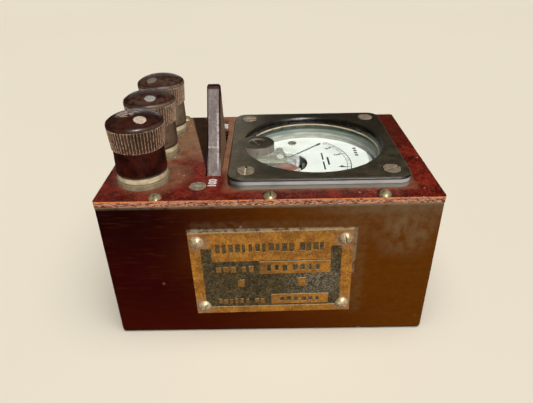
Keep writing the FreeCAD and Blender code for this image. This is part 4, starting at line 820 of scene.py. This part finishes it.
# Each raised part is (left, right, bottom, top) from the plate's centre.
RAISED = [
    (-PLATE_HALF_WIDTH, PLATE_HALF_WIDTH, 11.5, PLATE_HALF_HEIGHT),
    (-PLATE_HALF_WIDTH, PLATE_HALF_WIDTH, -PLATE_HALF_HEIGHT, -15.1),
    (-PLATE_HALF_WIDTH, -24.4, -PLATE_HALF_HEIGHT, PLATE_HALF_HEIGHT),
    (24.3, PLATE_HALF_WIDTH, -PLATE_HALF_HEIGHT, PLATE_HALF_HEIGHT),
    (-20.7, 20.5, 5.9, PLATE_HALF_HEIGHT),
    (-4.2, 20.6, 0, 5.3),
    (-0.5, 20.2, -14.1, -9.7),
]


def marks(left, low, high, words, width, gap, space):
    """A row of plain blocks, worn to uneven sizes, in place of lettering: words has each word's count."""
    made = []
    start = left
    for count in words:
        for _ in range(count):
            foot, head = low + wear.uniform(0, 0.4), high - wear.uniform(0, 0.4)
            made.append((start, start + width * wear.uniform(0.6, 1.05), foot, head))
            start += width + gap
        start += space
    return made


wear = random.Random(5)
SMALL_BRASS = (
    marks(-19.6, 0.9, 3.6, (3, 2), 1.9, 0.6, 1.6)
    + marks(-19.8, -13.7, -11.3, (6, 2), 1.5, 0.5, 1.4)
    + marks(-12.3, -6, -2.2, (1,), 3.2, 0, 0)
    + marks(9.4, -6, -2.2, (1,), 3.8, 0, 0)
)
DARK_MARKS = (
    marks(-19.2, 9.5, 13.4, (12, 4), 1.85, 0.45, 1.4)
    + marks(-1.6, 1.1, 4.2, (3, 4), 1.9, 0.8, 0.9)
    + marks(2.6, -13.2, -10.7, (6,), 1.8, 0.8, 0)
)


def plate_lines(half, edges):
    """Grid lines across the plate: the edges of raised parts, the feet of their slopes, and fill."""
    lines = {-half, half}
    for edge in edges:
        if abs(edge) < half - 3 * SLOPE:
            lines.update((edge - SLOPE, edge, edge + SLOPE))
    count = int(2 * half / GRID_SPACING)
    for step in range(count + 1):
        line = -half + 2 * half * step / count
        if min(abs(line - other) for other in lines) > GRID_MINIMUM:
            lines.add(line)
    return sorted(lines)


def inside(boxes, u, v, grow):
    return any(
        left - grow <= u <= right + grow and low - grow <= v <= high + grow
        for left, right, low, high in boxes
    )


def plate_height(u, v):
    """How far the surface is sunk at a point of the plate."""
    tiny = 1e-4
    if inside(DARK_MARKS, u, v, -tiny):
        return SINK
    if inside(RAISED + SMALL_BRASS, u, v, tiny):
        return 0
    return SINK


def plate_wave(u, v):
    """The plate's slight hammering and bends."""
    return 0.035 * math.sin(u * 0.31 + 1.2) * math.cos(v * 0.42) + 0.02 * math.sin(u * 0.9 + v * 0.7)


def make_plate():
    every = RAISED + SMALL_BRASS + DARK_MARKS
    across = plate_lines(PLATE_HALF_WIDTH, {edge for box in every for edge in box[:2]})
    upward = plate_lines(PLATE_HALF_HEIGHT, {edge for box in every for edge in box[2:]})
    cosine, sine = math.cos(PLATE_TURN), math.sin(PLATE_TURN)

    def placed(u, v, y):
        return (LABEL.x + u * cosine - v * sine, y, LABEL.z + u * sine + v * cosine)

    points = [
        placed(u, v, PLATE_FACE + FACE_MARGIN + plate_height(u, v) + plate_wave(u, v))
        for v in upward
        for u in across
    ]
    columns = len(across)
    faces = []
    for row in range(len(upward) - 1):
        for column in range(columns - 1):
            corner = row * columns + column
            faces.append((corner, corner + 1, corner + columns + 1, corner + columns))
    rim = list(range(columns))
    rim += [row * columns + columns - 1 for row in range(1, len(upward))]
    rim += [(len(upward) - 1) * columns + column for column in range(columns - 2, -1, -1)]
    rim += [row * columns for row in range(len(upward) - 2, 0, -1)]
    back = []
    for index in rim:
        x, _, z = points[index]
        back.append(len(points))
        points.append((x, PLATE_BACK, z))
    for here in range(len(rim)):
        after = (here + 1) % len(rim)
        faces.append((rim[after], rim[here], back[here], back[after]))
    faces.append(tuple(back))
    return points, faces


def plate_metal():
    """Mottled orange-brown brass, with an olive-black field in its sunk parts, dusty at its screws, and a
    painted highlight on its upward edges.
    """
    p = Paint("plate_metal", Metallic=0.35)
    raised = p.ramp(p.y, PLATE_FACE + 0.17, PLATE_FACE + 0.11)
    mottle = p.noise(3.4, 5, 0.65)
    fine = p.noise(0.9, 5, 0.7, seed=3)
    grain = p.noise(0.5, 4, 0.75, seed=12)
    brass = p.mix(p.ramp(mottle, 0.35, 0.68), (148, 94, 36), (200, 134, 48))
    brass = p.over(brass, (224, 170, 84), p.ramp(fine, 0.52, 0.7), 0.5)
    brass = p.over(brass, (84, 52, 22), p.ramp(fine, 0.45, 0.3), 0.5)
    brass = p.over(brass, (72, 46, 22), p.ramp(grain, 0.5, 0.36), 0.55)
    brass = p.over(brass, (230, 186, 108), p.ramp(grain, 0.54, 0.68), 0.45)
    patches = [
        p.around((LABEL.x + side * 25.3, 0, LABEL.z + up * 14.35 + side * 0.4), 2.6, 5.2, (1, 0, 1))
        for side in (-1, 1)
        for up in (-1, 1)
    ]
    brass = p.over(brass, (156, 122, 96), p.most(*patches), p.ramp(mottle, 0.25, 0.6), 0.7)
    field = p.mix(p.blotch(0.35, 0.7, 2.2, 5, 0.68, seed=6), (54, 46, 30), (90, 78, 54))
    field = p.over(field, (142, 122, 84), p.ramp(fine, 0.54, 0.68), 0.6)
    field = p.over(field, (150, 122, 68), p.ramp(grain, 0.52, 0.64), 0.6)
    field = p.over(field, (30, 26, 16), p.ramp(grain, 0.46, 0.34), 0.6)
    rubbed = p.times(p.around((LABEL.x + 16, 0, LABEL.z - 3), 3, 14, (1, 0, 1)), p.ramp(grain, 0.45, 0.6))
    field = p.over(field, (168, 158, 136), rubbed, 0.6)
    lettered = p.band(p.x, LABEL.x - 20.5, LABEL.x + 20.8, 0.3)
    worn_marks = p.times(lettered, p.ramp(p.math("SUBTRACT", 1, raised), 0, 1))
    worn_marks = p.times(worn_marks, p.ramp(p.z, LABEL.z + 5.2, LABEL.z + 6))
    field = p.over(field, (124, 92, 54), worn_marks, p.ramp(fine, 0.35, 0.6), 0.5)
    brass_mark = p.times(p.ramp(p.x, LABEL.x + 12, LABEL.x - 4), p.ramp(p.z, LABEL.z + 5.6, LABEL.z + 4.8))
    brass_mark = p.times(brass_mark, p.ramp(p.x, LABEL.x - 24, LABEL.x - 23))
    brass_mark = p.times(brass_mark, p.ramp(p.z, LABEL.z - 15.4, LABEL.z - 14.6))
    brass = p.over(brass, (96, 74, 46), brass_mark, 0.45)
    whole = p.mix(raised, field, brass)
    # Upward-facing edges get a pale painted highlight.
    p.colour(p.mix(p.times(p.ramp(p.normal_z, 0.6, 0.9), p.ramp(fine, 0.3, 0.5)), whole, (206, 188, 150)))
    p.rough(p.ramp(fine, 0.2, 0.8, 0.36, 0.6))
    p.bump(fine, 0.04)
    p.bump(mottle, 0.06)
    return p.material


plate_mesh = mesh_of("relief_label_plate", *make_plate())
plate = piece("relief_label_plate", plate_mesh, plate_metal(), "unit")
smooth(plate, 25)
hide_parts("label_plate")


# The dial's print: two arcs with ticks between them, numbers, and plain bars in place of words.
INK_HEIGHT = DIAL_FACE + 0.03
SCALE_FULL = 5
SCALE_POWER = 2.28
SCALE_START = 44
SCALE_END = -46
ARC_INNER = 26.6
ARC_OUTER = 28.1
ARC_STEPS = 60
NUMBER_RADIUS = 24.4
# The scale is marked from number 1, with its fifths from number 2.
FIRST_TENTH = 10
FIFTHS_FROM = 2
# Plain bars in place of words: (radial from the pivot, side from the middle, length, thickness).
DIAL_BARS = [(19.3, 0.8, 7, 0.75)]
DIAL_BARS += [(31.5, 6 + 2.2 * block, 1.3, 1.3) for block in range(4)]
DIAL_BARS += [(17.3, 5.2, 6.6, 0.6), (17.3, -3.2, 7, 0.6)]


def on_dial(radius, degrees):
    """A point of the dial, from the pivot: 0 degrees points along +X, and it grows anticlockwise."""
    turn = math.radians(degrees)
    return PIVOT.x + radius * math.cos(turn), PIVOT.y + radius * math.sin(turn)


def scale_angle(number):
    return SCALE_START + (SCALE_END - SCALE_START) * (number / SCALE_FULL) ** SCALE_POWER


def ribbon(line, width):
    """Points and faces of a flat ribbon along a line of (x, y) points."""
    points = []
    for index, (x, y) in enumerate(line):
        before = line[max(index - 1, 0)]
        after = line[min(index + 1, len(line) - 1)]
        along = math.atan2(after[1] - before[1], after[0] - before[0])
        side_x, side_y = -math.sin(along) * width / 2, math.cos(along) * width / 2
        points.append((x - side_x, y - side_y, INK_HEIGHT))
        points.append((x + side_x, y + side_y, INK_HEIGHT))
    faces = [(2 * i, 2 * i + 2, 2 * i + 3, 2 * i + 1) for i in range(len(line) - 1)]
    return points, faces


def gather(shapes):
    points, faces = [], []
    for more_points, more_faces in shapes:
        start = len(points)
        points += more_points
        faces += [tuple(index + start for index in face) for face in more_faces]
    return points, faces


def dial_bar(radial, side, length, thick):
    """A bar across the dial."""
    x, y = PIVOT.x + radial, PIVOT.y + side
    return ribbon([(x, y - length / 2), (x, y + length / 2)], thick)


def dial_print():
    shapes = []
    for radius, width in ((ARC_INNER, 0.16), (ARC_OUTER, 0.3)):
        sweep = (SCALE_END - SCALE_START) / ARC_STEPS
        angles = [SCALE_START + sweep * step for step in range(ARC_STEPS + 1)]
        shapes.append(ribbon([on_dial(radius, angle) for angle in angles], width))
    for tenths in range(FIRST_TENTH, SCALE_FULL * 10 + 1):
        number = tenths / 10
        whole = tenths % 10 == 0
        half = tenths % 5 == 0
        if not half and (number < FIFTHS_FROM or tenths % 2):
            continue
        reach = ARC_INNER - (1 if whole else 0.35 if half else 0)
        line = [on_dial(reach, scale_angle(number)), on_dial(ARC_OUTER, scale_angle(number))]
        shapes.append(ribbon(line, 0.34 if whole else 0.18))
    shapes.append(ribbon([on_dial(ARC_INNER - 0.6, SCALE_START), on_dial(ARC_OUTER, SCALE_START)], 0.3))
    shapes += [dial_bar(*bar) for bar in DIAL_BARS]
    return gather(shapes)


piece("dial_print", mesh_of("dial_print", *dial_print()), INK, "unit")


# The height of a digit is this share of the font's size.
DIGIT_SHARE = 0.72
INK_THICKNESS = 0.01


def number_piece(name, text, height, centre, turn, level, material, bold=0):
    """One upright number as a thin mesh, centred on a point and turned about Z."""
    words = bpy.data.curves.new(name, "FONT")
    words.body = text
    words.size = height * MM / DIGIT_SHARE
    words.align_x = "CENTER"
    words.align_y = "CENTER"
    words.offset = bold * MM
    words.extrude = INK_THICKNESS * MM
    holder = stand(name, words)
    bpy.context.view_layer.update()
    mesh = bpy.data.meshes.new_from_object(holder)
    bpy.data.objects.remove(holder)
    shift = Matrix.Translation((centre[0] * MM, centre[1] * MM, level * MM))
    mesh.transform(shift @ Matrix.Rotation(turn, 4, "Z"))
    piece(name, mesh, material, "unit")


for number in range(2, SCALE_FULL + 1):
    angle = scale_angle(number)
    number_piece(
        f"dial_number_{number}",
        str(number),
        2.6,
        on_dial(NUMBER_RADIUS, angle - 2 if number == SCALE_FULL else angle),
        math.radians(angle - 90),
        INK_HEIGHT,
        INK,
        0.08,
    )

QUARTER_TURN = math.radians(90)
for text, place in (("100", (-19.3, -26.6)), ("200", (-18.9, 26.6))):
    name = f"slot_number_{text}"
    number_piece(name, text, 2.7, place, QUARTER_TURN, TOP + 0.03, FILLING, 0.2)


def putty_ring(radius, width, height, level, sides=160):
    """The putty that holds the glass: a thin fillet in the window's bore, hollowed a little."""
    section = [(radius, 0), (radius - width, 0)]
    section += [(radius - width * 0.35, height * 0.4), (radius, height)]
    points = [(x, y, level + up) for r, up in section for x, y in circle(METER.x, METER.y, r, sides)]
    count = len(section)
    faces = []
    for row in range(count):
        for side in range(sides):
            after = (side + 1) % sides
            here, there = row * sides, (row + 1) % count * sides
            faces.append((here + side, there + side, there + after, here + after))
    return points, faces


ring_mesh = mesh_of("glass_putty", *putty_ring(26.02, 0.5, 0.4, box_mm("meter_glass")[1].z))
ring = piece("glass_putty", ring_mesh, PUTTY, "unit")
smooth(ring, 50)


# -------- floor, light and camera


def sun(name, travel, strength, spread, colour):
    light = bpy.data.lights.new(name, "SUN")
    light.energy = strength
    light.angle = math.radians(spread)
    light.color = colour
    made = stand(name, light)
    made.rotation_euler = Vector(travel).to_track_quat("-Z", "Y").to_euler()
    return made


def panel_light(name, place, target, size, power):
    light = bpy.data.lights.new(name, "AREA")
    light.shape = "RECTANGLE"
    light.size, light.size_y = (side * MM for side in size)
    light.energy = power
    made = stand(name, light)
    made.location = Vector(place) * MM
    made.rotation_euler = (Vector(target) - Vector(place)).to_track_quat("-Z", "Y").to_euler()
    return made


def setting(name, mesh, material):
    """Something round the object, which is seen but doesn't colour it or reflect in it."""
    mesh.materials.append(material)
    made = stand(name, mesh)
    made.visible_glossy = False
    made.visible_diffuse = False
    made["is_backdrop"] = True
    return made


FLOOR_HALF = 3000
FLOOR_LEVEL = -0.05
CORNERS = ((-1, -1), (1, -1), (1, 1), (-1, 1))
floor_corners = [(x * FLOOR_HALF, y * FLOOR_HALF, FLOOR_LEVEL) for x, y in CORNERS]
floor = setting("floor", mesh_of("floor", floor_corners, [(0, 1, 2, 3)]), FLOOR)


def backdrop_paint():
    """Plain and self-lit, to meet the floor's shade."""
    p = Paint("backdrop_paint", Roughness=1, Specular_IOR_Level=0, Emission_Strength=1)
    p.colour((0, 0, 0))
    glow = p.mix(p.blotch(0.3, 0.7, 900, 1, 0.5), (232, 223, 204), (234, 225, 206))
    p.wire(glow, p.shader.inputs["Emission Color"])
    return p.material


BACKDROP_RADIUS = 2600
BACKDROP_SIDES = 64
BACKDROP_LEVELS = (-100, 3000)
outline = circle(0, 0, BACKDROP_RADIUS, BACKDROP_SIDES)
wall_points = [(x, y, level) for level in BACKDROP_LEVELS for x, y in outline]
wall_mesh = mesh_of("backdrop", wall_points, ring_faces(2, BACKDROP_SIDES))
backdrop = setting("backdrop", wall_mesh, backdrop_paint())
backdrop.visible_shadow = False


def group(name, members):
    made = bpy.data.collections.new(name)
    for member in members:
        made.objects.link(member)
    return made


INSIDE_METER = (
    "meter_dial meter_dial_screws meter_inner_ring meter_top_bridge meter_jewel_screws meter_coil "
    "meter_pole_shoes meter_core meter_pointer meter_magnet meter_hairsprings"
).split()
CLEAR_OF_KEY = (CAD["meter_bezel"], CAD["meter_glass"], ring)
object_group = group("lit_object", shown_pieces())
floor_group = group("lit_floor", [floor])
inside_meter = group("inside_meter", [CAD[name] for name in INSIDE_METER])
blockers = group("key_blockers", [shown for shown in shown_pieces() if shown not in CLEAR_OF_KEY])

KEY = sun("key", (-0.52, 1.6, -1), 4, 1.5, (1, 0.97, 0.93))
TOP_FILL = sun("top_fill", (0.25, 0.1, -1), 0.03, 50, (0.95, 0.97, 1))
LEFT_FILL = sun("left_fill", (1, -0.12, 0), 1.9, 20, (1, 0.98, 0.95))
BACK_FILL = sun("back_fill", (-0.1, -1, 0), 1.5, 20, (1, 0.98, 0.95))
BACK_BOX = panel_light("back_box", (-120, 420, 115), (-20, 0, 80), (220, 40), 0.08)
SIDE_BOX = panel_light("side_box", (380, 60, 260), (0, 0, 50), (260, 300), 0.06)
DIAL_LIGHT = sun("dial_light", (-0.2, 0.9, -1), 2, 12, (0.95, 0.99, 0.98))
FLOOR_SUN = sun("floor_sun", (-0.1, 0.3, -1), 3.42, 60, (1, 0.995, 0.99))
for light in (LEFT_FILL, BACK_FILL):
    light.visible_glossy = False
for light in (KEY, TOP_FILL, LEFT_FILL, BACK_FILL, BACK_BOX, SIDE_BOX):
    light.light_linking.receiver_collection = object_group
for light in (KEY, DIAL_LIGHT):
    light.light_linking.blocker_collection = blockers
DIAL_LIGHT.light_linking.receiver_collection = inside_meter
FLOOR_SUN.light_linking.receiver_collection = floor_group

ROOM_COLOUR = (240, 236, 228)
ROOM_STRENGTH = 0.032
world = bpy.data.worlds.new("room")
bpy.context.scene.world = world
world.use_nodes = True
room = world.node_tree.nodes["Background"]
room.inputs["Color"].default_value = linear(ROOM_COLOUR)
room.inputs["Strength"].default_value = ROOM_STRENGTH

CAMERA_PLACE = (0.09, -167.78, TOP + 75.42)
CAMERA_DOWN = math.radians(30.5)
CAMERA_YAW = math.radians(-0.402)
CAMERA_ROLL = math.radians(-1.156)
FOCAL_LENGTH = 31.32
SENSOR_WIDTH = 36
NEAREST = 0.01
lens = bpy.data.cameras.new("camera")
lens.lens = FOCAL_LENGTH
lens.sensor_width = SENSOR_WIDTH
lens.clip_start = NEAREST
camera = stand("camera", lens)
forward = Vector((
    math.sin(CAMERA_YAW) * math.cos(CAMERA_DOWN),
    math.cos(CAMERA_YAW) * math.cos(CAMERA_DOWN),
    -math.sin(CAMERA_DOWN),
))
level_right = Vector((math.cos(CAMERA_YAW), -math.sin(CAMERA_YAW), 0))
level_up = level_right.cross(forward)
right = math.cos(CAMERA_ROLL) * level_right + math.sin(CAMERA_ROLL) * level_up
upright = -math.sin(CAMERA_ROLL) * level_right + math.cos(CAMERA_ROLL) * level_up
turned = Matrix((right, upright, -forward)).transposed().to_4x4()
camera.matrix_world = Matrix.Translation(Vector(CAMERA_PLACE) * MM) @ turned
bpy.context.scene.camera = camera

bpy.context.scene.view_settings.view_transform = "Standard"
bpy.context.scene.view_settings.look = "None"
